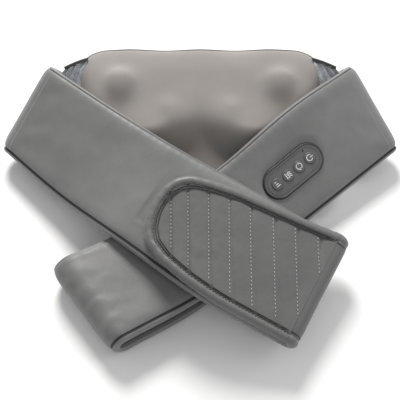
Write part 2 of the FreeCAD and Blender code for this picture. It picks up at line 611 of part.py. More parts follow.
def arms():
    left, whole, foam, hollow = padded_arm(LEFT_EDGES)
    keep(free_shape("left_arm", whole.cut(hollow)), "left_arm_cover")
    keep(free_shape("left_arm_core", foam), "left_arm_foam")
    shoulder("left", left)

    right, whole, foam, hollow = padded_arm(RIGHT_EDGES)
    frame = panel_frame(right)
    seat = pill(SIZE["panel_length"] + 0.6, SIZE["panel_width"] + 0.6, 20.0)
    pocket = pill(SIZE["panel_length"] - 7.0, SIZE["panel_width"] - 7.0, SIZE["tray_depth"] + 4.0)
    seat.translate(Vector(0, 0, -0.1))
    pocket.translate(Vector(0, 0, -SIZE["tray_depth"] - 0.4))
    room = seat.fuse(pocket)
    room.Placement = frame.multiply(room.Placement)
    keep(free_shape("right_arm", whole.cut(hollow).cut(room)), "right_arm_cover")
    keep(free_shape("right_arm_core", foam.cut(room)), "right_arm_foam")
    shoulder("right", right)
    control_panel(frame)

    # the left arm's end is folded back over itself: the quilted flap
    rise = SIZE["arm_thick"] / 2 + SIZE["flap_thick"] / 2 + 1.6
    tip = 0.12
    before, after = left.edges[2], left.edges[3]
    tip_edge = (before[0] + (after[0] - before[0]) * tip, before[1] + (after[1] - before[1]) * tip)
    near_tip = (before[0] + (after[0] - before[0]) * (tip + 0.3), before[1] + (after[1] - before[1]) * (tip + 0.3))
    edges = [tip_edge, near_tip, after, left.edges[4]]
    end_normal = left.frames[4][3]
    flap = Band([(tuple(a), tuple(b)) for a, b in edges], end_normal).raised(rise)
    flap = flap.narrowed([(0.33, 0.38), (0.15, 0.12), (0.09, 0.03), (0.0, 0.0)])
    flap = Band([(tuple(a), tuple(b)) for a, b in flap.edges], end_normal)
    keep(free_shape("flap", flap.solid(SIZE["flap_thick"])), "quilted_flap")
    patch = Band([(tuple(a), tuple(b)) for a, b in edges]).raised(SIZE["arm_thick"] / 2 + 0.75)
    patch = patch.narrowed([(0.46, 0.46), (0.36, 0.30), (0.36, 0.28), (0.36, 0.30)])
    keep(free_shape("hook_patch", patch.solid(1.0)), "hook_patch")
    (upper, lower), (_, ahead, _, normal) = left.edges[4], left.frames[4]
    axis_upper, axis_lower = upper + normal * (rise / 2), lower + normal * (rise / 2)
    inner = max(rise / 2 - SIZE["arm_thick"] / 2, 0.9)
    fold = fold_solid(axis_upper, axis_lower, normal, ahead, inner, rise / 2 + SIZE["flap_thick"] / 2)
    keep(free_shape("flap_fold", fold), "flap_fold")

    # the right arm's end is folded under and sewn: the hand loop
    loop(right, whole)


def loop(right, arm_solid):
    thick = SIZE["loop_thick"]
    low = thick / 2 + 1.2
    end_upper, end_lower = right.edges[4]
    back_upper, back_lower = right.edges[3]
    ends = []
    for top in (end_upper, back_upper, right.edges[3][0] + (right.edges[2][0] - right.edges[3][0]) * 0.35):
        ends.append(Vector(top.x, top.y, low))
    feet = []
    for bottom in (end_lower, back_lower, right.edges[3][1] + (right.edges[2][1] - right.edges[3][1]) * 0.25):
        feet.append(Vector(bottom.x, bottom.y, low))
    under = Band([(tuple(a), tuple(b)) for a, b in zip(ends, feet)])
    keep(free_shape("loop_under", under.solid(thick)), "loop_under_layer")
    # the bend: half a tube between the two layers, wider at the upper edge
    wires = []
    ahead = right.frames[4][1]
    flat = Vector(ahead.x, ahead.y, 0)
    flat.normalize()
    for top, arm_half in ((end_upper, SIZE["arm_thick"] / 2), (end_lower, SIZE["arm_thick"] / 2)):
        reach = (top.z + arm_half - (low - thick / 2)) / 2
        centre = Vector(top.x, top.y, low - thick / 2 + reach) + flat * 0.1
        outer, inner = reach, reach - thick
        up = Vector(0, 0, 1)
        edges = [Part.Arc(centre + up * outer, centre + flat * outer, centre - up * outer).toShape(),
                 Part.LineSegment(centre - up * outer, centre - up * inner).toShape(),
                 Part.Arc(centre - up * inner, centre + flat * inner, centre + up * inner).toShape(),
                 Part.LineSegment(centre + up * inner, centre + up * outer).toShape()]
        wires.append(Part.Wire(edges))
    bend = Part.makeLoft(wires, True, True).cut(arm_solid)
    keep(free_shape("loop_bend", bend), "loop_bend")


# ---------------------------------------------------------------- control panel on the right arm
def pill(length, width, height):
    """A stadium prism along X, standing on z = 0."""
    straight = length - width
    shape = Part.makeBox(straight, width, height, Vector(-straight / 2, -width / 2, 0))
    for x in (-straight / 2, straight / 2):
        shape = shape.fuse(Part.makeCylinder(width / 2, height, Vector(x, 0, 0)))
    return shape.removeSplitter()


def panel_frame(arm):
    """The panel's own frame: X up the arm, Z out of its face, origin at the plate's underside."""
    start, toward = arm.frames[1][0], arm.frames[2][0]
    along = toward - start
    along.normalize()
    share = SIZE["panel_place"] / (toward - start).Length
    across = arm.frames[1][2] * (1 - share) + arm.frames[2][2] * share
    normal = across.cross(along)
    if normal.z < 0:
        normal = normal * -1
    normal.normalize()
    x_axis = along * -1
    y_axis = normal.cross(x_axis)
    centre = start + along * SIZE["panel_place"] + normal * (SIZE["arm_thick"] / 2 - 0.9)
    matrix = FreeCAD.Matrix(x_axis.x, y_axis.x, normal.x, centre.x, x_axis.y, y_axis.y, normal.y, centre.y,
                            x_axis.z, y_axis.z, normal.z, centre.z, 0, 0, 0, 1)
    return Placement(matrix)


def pill_block(name, length, width, height, z=0.0):
    """A stadium made from Part primitives bound to the spreadsheet."""
    bar = box(name + "_bar", "(%s) - (%s)" % (length, width), width, height, z=z)
    half = bar.Length.Value / 2
    ends = [rod(name + "_end%d" % i, "(%s) / 2" % width, height, x, 0.0, z) for i, x in enumerate((-half, half))]
    return fuse(name, bar, *ends)


BUTTONS = ("intensity_button", "heat_button", "direction_button", "power_button")


def control_panel(frame):
    pitch, radius, travel = SIZE["button_pitch"], SIZE["button_radius"], SIZE["button_travel"]
    places = [(i - 1.5) * pitch for i in range(4)]
    plate = pill_block("plate", "sizes.panel_length", "sizes.panel_width", "sizes.panel_thick")
    holes = [rod("plate_hole%d" % i, "sizes.button_radius + sizes.button_gap", 10.0, x, 0.0, -2.0)
             for i, x in enumerate(places)]
    lens_x = places[3] - 2.0
    lens_y = radius + 4.2
    holes.append(rod("plate_lens_hole", 1.1, 10.0, lens_x, lens_y, -2.0))
    keep(cut("panel_plate", plate, *holes), "control_panel", frame)
    keep(rod("panel_lens", 1.0, "sizes.panel_thick + 0.2", lens_x, lens_y, 0.0), "indicator_lens", frame)

    inner = "sizes.panel_length - 8", "sizes.panel_width - 8"
    tray = pill_block("tray_block", inner[0], inner[1], "sizes.tray_depth", z=-SIZE["tray_depth"] - 0.05)
    hollow = pill_block("tray_hollow", inner[0] + " - 2*sizes.tray_wall", inner[1] + " - 2*sizes.tray_wall",
                        "sizes.tray_depth", z=-SIZE["tray_depth"] - 0.05 + SIZE["tray_wall"])
    keep(cut("tray", tray, hollow), "control_tray", frame)

    board_top = -4.4
    board = pill_block("board", inner[0] + " - 3.2", inner[1] + " - 3.2", "sizes.board_thick",
                       z=board_top - SIZE["board_thick"])
    feet = [rod("control_foot%d" % i, 1.5, SIZE["tray_depth"] + board_top - SIZE["board_thick"] - SIZE["tray_wall"],
                x, 0.0, -SIZE["tray_depth"] + SIZE["tray_wall"]) for i, x in enumerate((-26.0, 26.0))]
    keep(fuse("control_board", board, *feet), "control_board", frame)

    stem_foot = -1.3
    switches = []
    for i, x in enumerate(places):
        base = box("switch_base%d" % i, 6.0, 6.0, 1.6, x, 0.0, board_top)
        top = stem_foot - travel - 0.15
        plunger = rod("switch_plunger%d" % i, 1.6, top - board_top, x, 0.0, board_top)
        switches.append(fuse("switch%d" % i, base, plunger))
    group = doc.addObject("Part::Compound", "switches")
    group.Links = switches
    doc.recompute()
    keep(group, "tact_switches", frame)

    for i, (x, label) in enumerate(zip(places, BUTTONS)):
        keep(button(label, stem_foot), label, frame.multiply(Placement(Vector(x, 0, 0), Rotation())))


def button(label, foot):
    """A round key with a retaining flange under the panel, as a PartDesign body."""
    body = doc.addObject("PartDesign::Body", label + "_body")
    plane = [f for f in body.Origin.OriginFeatures if f.Role == "XY_Plane"][0]
    last = None
    rounds = (("flange", "sizes.button_radius + 0.8", foot, -0.15 - foot),
              ("cap", "sizes.button_radius", foot, None))
    for part, radius, low, height in rounds:
        sketch = body.newObject("Sketcher::SketchObject", "%s_%s" % (label, part))
        sketch.AttachmentSupport = [(plane, "")]
        sketch.MapMode = "FlatFace"
        sketch.AttachmentOffset = Placement(Vector(0, 0, low), Rotation())
        sketch.addGeometry(Part.Circle(Vector(), Vector(0, 0, 1), 5.0), False)
        sketch.addConstraint(Sketcher.Constraint("Coincident", 0, 3, -1, 1))
        index = sketch.addConstraint(Sketcher.Constraint("Radius", 0, 5.0))
        sketch.setExpression("Constraints[%d]" % index, radius)
        pad = body.newObject("PartDesign::Pad", "%s_%s_pad" % (label, part))
        pad.Profile = sketch
        if height is None:
            pad.setExpression("Length", "sizes.button_height + %g" % -foot)
        else:
            pad.Length = height
        last = pad
        doc.recompute()
    crown = body.newObject("PartDesign::Fillet", label + "_crown")
    top = max(range(len(last.Shape.Edges)), key=lambda i: last.Shape.Edges[i].CenterOfMass.z)
    crown.Base = (last, ["Edge%d" % (top + 1)])
    crown.Radius = 1.0
    body.Tip = crown
    doc.recompute()
    return body


# ---------------------------------------------------------------- build, check and write
body_casings()
housing()
gears()
kneading_plates()
electrics()
arms()
doc.recompute()

for item in doc.Objects:
    if any(word in item.State for word in ("Invalid", "Error")):
        raise RuntimeError("%s did not build: %s" % (item.Name, item.State))
os.makedirs("parts", exist_ok=True)
for item in made:
    shape = item.Shape
    if shape.isNull() or not shape.isValid() or not shape.Solids:
        raise RuntimeError("%s has no valid solid" % item.Label)
    shape.exportStep("parts/%s.step" % item.Label)
print(len(made), "sub-parts written")
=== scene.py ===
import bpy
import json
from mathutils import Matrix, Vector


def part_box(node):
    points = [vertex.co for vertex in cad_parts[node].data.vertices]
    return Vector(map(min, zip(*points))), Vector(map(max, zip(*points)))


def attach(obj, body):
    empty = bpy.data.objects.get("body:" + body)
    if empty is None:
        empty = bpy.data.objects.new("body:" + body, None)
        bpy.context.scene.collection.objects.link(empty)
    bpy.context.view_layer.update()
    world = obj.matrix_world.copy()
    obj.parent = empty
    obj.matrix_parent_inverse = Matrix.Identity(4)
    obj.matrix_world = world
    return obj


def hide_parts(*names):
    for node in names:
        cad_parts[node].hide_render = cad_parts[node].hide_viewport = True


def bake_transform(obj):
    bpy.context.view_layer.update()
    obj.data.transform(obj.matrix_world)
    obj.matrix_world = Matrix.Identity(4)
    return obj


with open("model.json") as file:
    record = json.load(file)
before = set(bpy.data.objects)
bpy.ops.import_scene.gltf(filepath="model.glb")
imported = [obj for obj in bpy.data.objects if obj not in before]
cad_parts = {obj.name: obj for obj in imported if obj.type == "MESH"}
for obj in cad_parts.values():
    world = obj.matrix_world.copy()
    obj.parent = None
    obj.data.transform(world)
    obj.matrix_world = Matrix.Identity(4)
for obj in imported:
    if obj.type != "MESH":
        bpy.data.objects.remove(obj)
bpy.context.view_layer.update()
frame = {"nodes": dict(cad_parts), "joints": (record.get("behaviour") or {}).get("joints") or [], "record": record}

import json
import math

import bmesh
import bpy
import numpy as np
from mathutils import Matrix, Vector, noise
from mathutils.bvhtree import BVHTree

MM = 0.001
Z = np.array([0.0, 0.0, 1.0])

# Middle surface of each arm in mm, as (upper edge, lower edge), the same points as in the CAD.
LEFT = [((-169, 40, 88), (-229, -37, 25)), ((-93, -21, 90), (-160, -104, 32)), ((-23, -69, 84), (-90, -168, 51)),
        ((60, -112, 64), (0, -236, 49)), ((152, -156, 37), (86, -276, 22))]
RIGHT = [((169, 40, 88), (229, -37, 25)), ((110, -7, 89), (172, -84, 21)), ((16, -83, 61), (104, -140, 15)),
         ((-95, -154, 37), (0, -229, 30)), ((-145, -180, 39), (-76, -275, 33))]
ARM_THICK, FLAP_THICK, LOOP_THICK, FOLD_GAP = 16.0, 11.0, 12.0, 0.9
TILT, LIFT = math.radians(10), 10.0
ARM_ROWS, BEND_ROWS, UNDER_ROWS = 190, 30, 52
RAY_HEIGHT = 200.0


# ---------------------------------------------------------------- materials
class Mat:
    """A node material with short calls for the nodes used here."""

    def __init__(self, name):
        self.mat = bpy.data.materials.new(name)
        self.mat.use_nodes = True
        self.nodes, self.links = self.mat.node_tree.nodes, self.mat.node_tree.links
        self.shader = self.nodes["Principled BSDF"]
        self.coords = self.nodes.new("ShaderNodeTexCoord").outputs["Object"]

    def node(self, kind, **values):
        node = self.nodes.new(kind)
        for key, value in values.items():
            if key in node.inputs:
                self.put(node.inputs[key], value)
            else:
                setattr(node, key, value)
        return node

    def put(self, socket, value):
        if isinstance(value, bpy.types.NodeSocket):
            self.links.new(value, socket)
        else:
            socket.default_value = value

    def noise(self, scale, detail=3.0, rough=0.55):
        node = self.node("ShaderNodeTexNoise", Scale=scale, Detail=detail, Roughness=rough)
        self.links.new(self.coords, node.inputs["Vector"])
        return node.outputs["Fac"]

    def cells(self, scale):
        node = self.node("ShaderNodeTexVoronoi", Scale=scale, feature="DISTANCE_TO_EDGE")
        self.links.new(self.coords, node.inputs["Vector"])
        return node.outputs["Distance"]

    def waves(self, scale, direction):
        node = self.node("ShaderNodeTexWave", bands_direction=direction, Scale=scale, Distortion=0.35)
        node.inputs["Detail"].default_value = 1.0
        self.links.new(self.coords, node.inputs["Vector"])
        return node.outputs["Fac"]

    def ramp(self, fac, stops):
        node = self.node("ShaderNodeValToRGB")
        self.links.new(fac, node.inputs["Fac"])
        while len(node.color_ramp.elements) < len(stops):
            node.color_ramp.elements.new(0.5)
        for element, (place, tone) in zip(node.color_ramp.elements, stops):
            element.position = place
            element.color = (*tone, 1) if len(tone) == 3 else tone
        return node.outputs["Color"]

    def math(self, operation, a, b):
        node = self.node("ShaderNodeMath", operation=operation)
        self.put(node.inputs[0], a)
        self.put(node.inputs[1], b)
        return node.outputs[0]

    def mix(self, fac, a, b, blend="MIX"):
        node = self.node("ShaderNodeMix", data_type="RGBA", blend_type=blend)
        self.put(node.inputs[0], fac)
        self.put(node.inputs[6], a)
        self.put(node.inputs[7], b)
        return node.outputs[2]

    def bump(self, height, strength, distance, below=None):
        node = self.node("ShaderNodeBump", Strength=strength, Distance=distance, Height=height)
        if below is not None:
            self.links.new(below, node.inputs["Normal"])
        return node.outputs["Normal"]

    def finish(self, color=None, rough=None, normal=None, **plain):
        for socket, value in (("Base Color", color), ("Roughness", rough), ("Normal", normal)):
            if value is not None:
                self.put(self.shader.inputs[socket], value)
        for socket, value in plain.items():
            self.shader.inputs[socket.replace("_", " ")].default_value = value
        return self.mat


def grey(value, warm=0.0):
    return (value * (1 + warm), value, value * (1 - warm))


def leather(name, tone, rough=0.5, grain=1.0):
    """Smooth pebbled leather: fine cells in the bump, soft cloudy colour and an uneven polish."""
    m = Mat(name)
    cells = m.cells(720)
    fine = m.noise(2600, 2)
    cloud = m.noise(11, 4, 0.6)
    tint = m.ramp(cloud, [(0.32, grey(tone * 0.90)), (0.70, grey(tone * 1.10))])
    pores = m.ramp(cells, [(0.0, (0.72, 0.72, 0.72)), (0.13, (1, 1, 1))])
    color = m.mix(0.55, tint, pores, "MULTIPLY")
    mottled = m.mix(m.math("MULTIPLY", m.noise(90, 3), 0.22), color, (*grey(tone * 1.35), 1))
    height = m.math("ADD", m.math("MULTIPLY", cells, 1.6), m.math("MULTIPLY", fine, 0.35))
    normal = m.bump(height, 0.20 * grain, 0.0005, m.bump(m.noise(60, 3), 0.10, 0.0015))
    shine = m.math("ADD", m.math("MULTIPLY", m.noise(38, 3), 0.16), rough - 0.08)
    return m.finish(mottled, shine, normal, Sheen_Weight=0.12, Specular_IOR_Level=0.42)


def plain_rough(name, tone, rough=0.7, bump=0.3, scale=1500, metallic=0.0, spec=0.4):
    """Moulded or brushed surface: a fine texture and slight unevenness in tone."""
    m = Mat(name)
    speck = m.noise(scale, 3)
    color = m.mix(m.noise(45, 3), (*(c * 0.86 for c in tone), 1), (*(min(c * 1.12, 1) for c in tone), 1))
    shine = m.math("ADD", m.math("MULTIPLY", m.noise(160, 2), 0.14), rough - 0.07)
    return m.finish(color, shine, m.bump(speck, bump, 0.0003), Metallic=metallic, Specular_IOR_Level=spec)


def stretch_cloth(name):
    """Knitted stretch fabric: fine crossing ribs and a soft sheen."""
    m = Mat(name)
    ribs = m.math("ADD", m.waves(520, "X"), m.math("MULTIPLY", m.waves(470, "Y"), 0.8))
    cloud = m.noise(16, 3)
    tint = m.ramp(cloud, [(0.3, (0.218, 0.204, 0.193)), (0.7, (0.258, 0.243, 0.229))])
    yarn = m.ramp(m.math("MULTIPLY", ribs, 0.55), [(0.1, (0.86, 0.86, 0.86)), (0.8, (1.04, 1.04, 1.04))])
    fuzz = m.mix(m.noise(900, 2), m.mix(0.6, tint, yarn, "MULTIPLY"), (0.28, 0.263, 0.25, 1))
    color = m.mix(0.4, m.mix(0.6, tint, yarn, "MULTIPLY"), fuzz)
    normal = m.bump(ribs, 0.16, 0.0004, m.bump(m.noise(1400, 2), 0.12, 0.0003))
    return m.finish(color, 0.86, normal, Sheen_Weight=0.35, Sheen_Roughness=0.4, Specular_IOR_Level=0.25)


def mesh_cloth(name):
    """Spacer mesh: rows of small open cells."""
    m = Mat(name)
    holes = m.cells(430)
    color = m.ramp(holes, [(0.0, (0.42, 0.44, 0.47)), (0.16, (0.34, 0.36, 0.38)), (0.34, (0.15, 0.157, 0.17))])
    soft = m.mix(m.noise(30, 3), color, (0.30, 0.31, 0.33, 1))
    return m.finish(m.mix(0.55, color, soft), 0.9, m.bump(holes, 0.5, 0.0006), Sheen_Weight=0.3)


def thread(name, tone):
    """Twisted sewing thread."""
    m = Mat(name)
    twist = m.noise(2200, 2)
    color = m.ramp(twist, [(0.3, grey(tone * 0.8, 0.02)), (0.7, grey(tone * 1.15, 0.02))])
    return m.finish(color, 0.6, m.bump(twist, 0.4, 0.0002), Sheen_Weight=0.3)


GREY = 0.160
MATS = {
    "arm": leather("arm_leather", GREY),
    "edge": leather("edge_leather", GREY * 1.05, rough=0.45, grain=0.6),
    "flap": leather("flap_leather", GREY * 0.66),
    "binding": leather("binding_leather", GREY * 0.80, rough=0.42, grain=0.5),
    "seam": leather("seam_shadow", 0.030, rough=0.7),
    "rear": leather("rear_leather", GREY * 0.55),
    "cloth": stretch_cloth("stretch_cloth"),
    "mesh": mesh_cloth("mesh_cloth"),
    "pale_thread": thread("pale_thread", 0.42),
    "grey_thread": thread("grey_thread", 0.055),
    "dark_thread": thread("dark_thread", 0.030),
    "panel": leather("panel_rubber", GREY * 0.70, rough=0.55, grain=1.6),
    "key": plain_rough("key_rubber", grey(GREY * 0.70), 0.42, 0.1, 2400),
    "rim": plain_rough("panel_rim", (0.045, 0.045, 0.046), 0.4, 0.1),
    "icon": plain_rough("icon_white", (0.78, 0.79, 0.80), 0.5, 0.05),
    "lens": plain_rough("lens_black", (0.010, 0.010, 0.011), 0.16, 0.02, spec=0.6),
}


# ---------------------------------------------------------------- mesh helpers
def new_mesh(name, verts, faces, mats, face_mats=None, smooth=True):
    """An object from points in mm."""
    mesh = bpy.data.meshes.new(name)
    mesh.from_pydata([tuple(float(c) * MM for c in v) for v in verts], [], faces)
    for key in mats:
        mesh.materials.append(MATS[key])
    if face_mats is not None:
        mesh.polygons.foreach_set("material_index", face_mats)
    mesh.polygons.foreach_set("use_smooth", [smooth] * len(mesh.polygons))
    mesh.update()
    obj = bpy.data.objects.new(name, mesh)
    bpy.context.scene.collection.objects.link(obj)
    return obj


def fix_normals(obj):
    """Turns the faces outwards."""
    work = bmesh.new()
    work.from_mesh(obj.data)
    bmesh.ops.recalc_face_normals(work, faces=work.faces)
    work.to_mesh(obj.data)
    work.free()
    return obj


def tube_grid(name, rows, mats, column_mats=None, close_ends=True):
    """A tube through rows of points that go round its sections, capped by flat fans at both ends."""
    rows = np.asarray(rows)
    n, k = rows.shape[:2]
    verts = list(rows.reshape(-1, 3))
    faces, tags = [], []
    for i in range(n - 1):
        for j in range(k):
            a, b = i * k + j, i * k + (j + 1) % k
            faces.append((a, b, b + k, a + k))
            tags.append(0 if column_mats is None else column_mats[j])
    if close_ends:
        for i in (0, n - 1):
            verts.append(rows[i].mean(0))
            hub = len(verts) - 1
            for j in range(k):
                faces.append((hub, i * k + j, i * k + (j + 1) % k))
                tags.append(0)
    tube = fix_normals(new_mesh(name, verts, faces, mats, tags))
    if close_ends:
        for face in list(tube.data.polygons)[-2 * k:]:
            face.use_smooth = False
    return tube


def smooth_line(points, count):
    """A smooth curve through points, evenly spaced along their chords."""
    p = np.array(points, float)
    along = np.r_[0, np.cumsum(np.linalg.norm(np.diff(p, axis=0), axis=1))]
    if len(p) == 2:
        return p[0] + (p[1] - p[0]) * np.linspace(0, 1, count)[:, None]
    slope = np.gradient(p, along, axis=0)
    out = []
    for x in np.linspace(0, along[-1], count):
        j = max(min(np.searchsorted(along, x, side="right") - 1, len(p) - 2), 0)
        h = along[j + 1] - along[j]
        t = (x - along[j]) / h
        out.append((1 + 2 * t) * (1 - t) ** 2 * p[j] + t * (1 - t) ** 2 * h * slope[j]
                   + t * t * (3 - 2 * t) * p[j + 1] + t * t * (t - 1) * h * slope[j + 1])
    return np.array(out)


def unit(v):
    v = np.asarray(v, float)
    return v / np.linalg.norm(v, axis=-1, keepdims=True)


class Strip:
    """A smooth band surface between an upper and a lower edge line."""

    def __init__(self, upper, lower):
        self.upper, self.lower = np.asarray(upper, float), np.asarray(lower, float)
        middle = (self.upper + self.lower) / 2
        self.ahead = unit(np.gradient(middle, axis=0))
        self.across = unit(self.lower - self.upper)
        normal = unit(np.cross(self.across, self.ahead))
        self.normal = normal * np.sign(normal[:, 2:3])
        self.width = np.linalg.norm(self.lower - self.upper, axis=1)

    def at(self, i, share, height):
        return self.upper[i] + (self.lower[i] - self.upper[i]) * share + self.normal[i] * height

    def point(self, s, share, height):
        """The same at a fractional place along the band, from 0 to 1."""
        x = np.clip(s, 0, 1) * (len(self.upper) - 1)
        i = min(int(x), len(self.upper) - 2)
        f = x - i
        return self.at(i, share, height) * (1 - f) + self.at(i + 1, share, height) * f


def band(sections, count):
    return Strip(smooth_line([s[0] for s in sections], count), smooth_line([s[1] for s in sections], count))


def ripple(p, scale, size, seed=0.0):
    """Smooth unevenness at a point in mm."""
    return size * noise.noise(Vector((p[0] / scale + seed, p[1] / scale, p[2] / scale + 3.1)))


# a padded band's section: distances in mm of the seams from its edges, and points along its two faces
UPPER_EDGE, LOWER_EDGE = 3.2, 6.5
TOP_POINTS, BACK_POINTS, STRIP_POINTS = 56, 22, 12


def arm_profile(width, thick):
    """(distance from the upper edge, height, tag) round the section. Tags: 0 top, 1 seam, 2 side, 3 back."""
    half = thick / 2
    seam = half * 0.66
    points = []
    run = width - UPPER_EDGE - LOWER_EDGE
    for side, count in ((1, TOP_POINTS), (-1, BACK_POINTS)):
        line = []
        for j in range(count):
            x = 0.5 - 0.5 * math.cos(math.pi * (j + 0.5) / count)
            near = min(x, 1 - x) * run
            swell = half - (half - seam) * math.exp(-near / 3.6)
            line.append((UPPER_EDGE + x * run, side * swell, 0 if side > 0 else 3))
        if side < 0:
            line.reverse()
        points += line
        edge, centre, turn = (LOWER_EDGE, width - LOWER_EDGE, 1) if side > 0 else (UPPER_EDGE, UPPER_EDGE, -1)
        height, sink = side * seam, side * seam * 0.72
        points.append((centre, height * 0.97, 1))
        points.append((centre + turn * 0.5, sink, 1))
        for j in range(1, STRIP_POINTS):
            angle = math.pi * j / STRIP_POINTS
            bulge = math.sin(angle) ** 0.6
            away = centre + turn * (0.6 + (edge - 0.6) * bulge)
            points.append((away, height * 0.98 * math.cos(angle), 2))
        points.append((centre + turn * 0.5, -sink, 1))
        points.append((centre, -height * 0.97, 1))
    return points


def build_band(name, strip, thick, mats=("arm", "seam", "edge", "arm"), rough=0.9, seed=0.0, shape=None):
    """The padded band as one closed mesh. shape(point, normal, share, row) may move points of its top face."""
    rows = []
    tags = None
    for i in range(len(strip.upper)):
        size = thick[i] if hasattr(thick, "__len__") else thick
        ring = arm_profile(strip.width[i], size)
        tags = [tag for _, _, tag in ring]
        row = []
        for away, height, tag in ring:
            share = away / strip.width[i]
            p = strip.at(i, share, height)
            inner = min(share, 1 - share) * strip.width[i]
            soft = ripple(p, 46, rough, seed) + ripple(p, 15, rough * 0.28, seed + 7)
            pucker = 0.30 * math.sin(i * 1.25 + 3 * noise.noise(Vector((i * 0.13, seed, share * 3))))
            ends = min(1.0, i / 14, (len(strip.upper) - 1 - i) / 14)  # fades out at both ends
            lift = (soft * min(inner / 14, 1) + pucker * math.exp(-inner / 6.0) * (tag == 0)) * ends
            p = p + strip.normal[i] * (lift if height > 0 else -lift * 0.4)
            if shape is not None and height > 0:
                p = shape(p, strip.normal[i], share, i)
            row.append(p)
        rows.append(row)
    return tube_grid(name, rows, mats, tags)


def stitches(name, line, normals, body, mat="pale_thread", long=2.3, gap=1.5, thick=0.42, lift=0.1):
    """Separate raised stitches along a line of points in mm."""
    line, normals = np.asarray(line, float), np.asarray(normals, float)
    along = np.r_[0, np.cumsum(np.linalg.norm(np.diff(line, axis=0), axis=1))]
    verts, faces = [], []
    start = gap
    while start + long < along[-1]:
        ends = [np.array([np.interp(x, along, line[:, c]) for c in range(3)]) for x in (start, start + long)]
        up = unit(np.array([np.interp(start, along, normals[:, c]) for c in range(3)]))
        ahead = unit(ends[1] - ends[0])
        side = np.cross(up, ahead)
        first = len(verts)
        for share, size in ((0.0, 0.35), (0.12, 0.85), (0.5, 1.0), (0.88, 0.85), (1.0, 0.35)):
            centre = ends[0] + (ends[1] - ends[0]) * share + up * (lift + thick * (size - 0.6))
            for k in range(6):
                angle = math.pi * 2 * k / 6
                out, rise = thick * size * math.cos(angle), thick * 0.8 * size * math.sin(angle)
                verts.append(centre + side * out + up * rise)
        for r in range(4):
            for k in range(6):
                a, b = first + r * 6 + k, first + r * 6 + (k + 1) % 6
                faces.append((a, b, b + 6, a + 6))
        faces.append(tuple(first + k for k in range(6)))
        faces.append(tuple(first + 24 + k for k in range(6)))
        start += long + gap
    obj = fix_normals(new_mesh(name, verts, faces, (mat,)))
    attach(obj, body)
    return obj


def rope(name, line, normals, wide, high, body, mat, closed=False, sides=14, slot="cover_leather", tone=None):
    """A flattened round bead along a line of points in mm. With body None it is attached to no body."""
    line, normals = np.asarray(line, float), unit(normals)
    if closed:
        ahead = unit(np.roll(line, -1, 0) - np.roll(line, 1, 0))
    else:
        ahead = unit(np.gradient(line, axis=0))
    side = unit(np.cross(normals, ahead))
    up = unit(np.cross(ahead, side))
    rows = []
    for i in range(len(line)):
        size = 1.0 if tone is None else tone(i)
        ring = []
        for k in range(sides):
            angle = 2 * math.pi * k / sides
            out, rise = wide / 2 * math.cos(angle) * size, high / 2 * math.sin(angle) * size
            ring.append(line[i] + side[i] * out + up[i] * rise)
        rows.append(ring)
    if closed:
        rows.append(rows[0])
    obj = tube_grid(name, rows, (mat,), close_ends=not closed)
    if body is not None:
        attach(obj, body)
    return obj


def tree_of(obj):
    """A search tree of a mesh whose points are in the row frame."""
    mesh = obj.data
    return BVHTree.FromPolygons([v.co.copy() for v in mesh.vertices], [tuple(p.vertices) for p in mesh.polygons])


def drop_on(tree, x, y):
    """The point in mm and normal where a vertical ray at x, y first meets the tree from above."""
    hit, normal, _, _ = tree.ray_cast(Vector((x * MM, y * MM, RAY_HEIGHT * MM)), Vector((0, 0, -1)))
    if hit is None:
        return None, None
    normal = normal if normal.z > 0 else -normal
    return np.array(hit) / MM, np.array(normal)


# ---------------------------------------------------------------- arms
def exact_strip(upper, lower, normals):
    """A strip with the normals given."""
    strip = Strip(upper, lower)
    strip.normal = unit(normals)
    return strip


left = band(LEFT, ARM_ROWS)
right_top = band(RIGHT, ARM_ROWS)


def bent(upper, lower, normal, away, radii, first=0.0, last=math.pi, count=26):
    """Edge points and normals of a band turning round the line upper-lower, from normal towards away."""
    ups, downs, normals = [], [], []
    for angle in np.linspace(first, last, count):
        way = normal * math.cos(angle) + away * math.sin(angle)
        ups.append(upper + way * radii[0])
        downs.append(lower + way * radii[1])
        normals.append(way)
    return ups, downs, normals


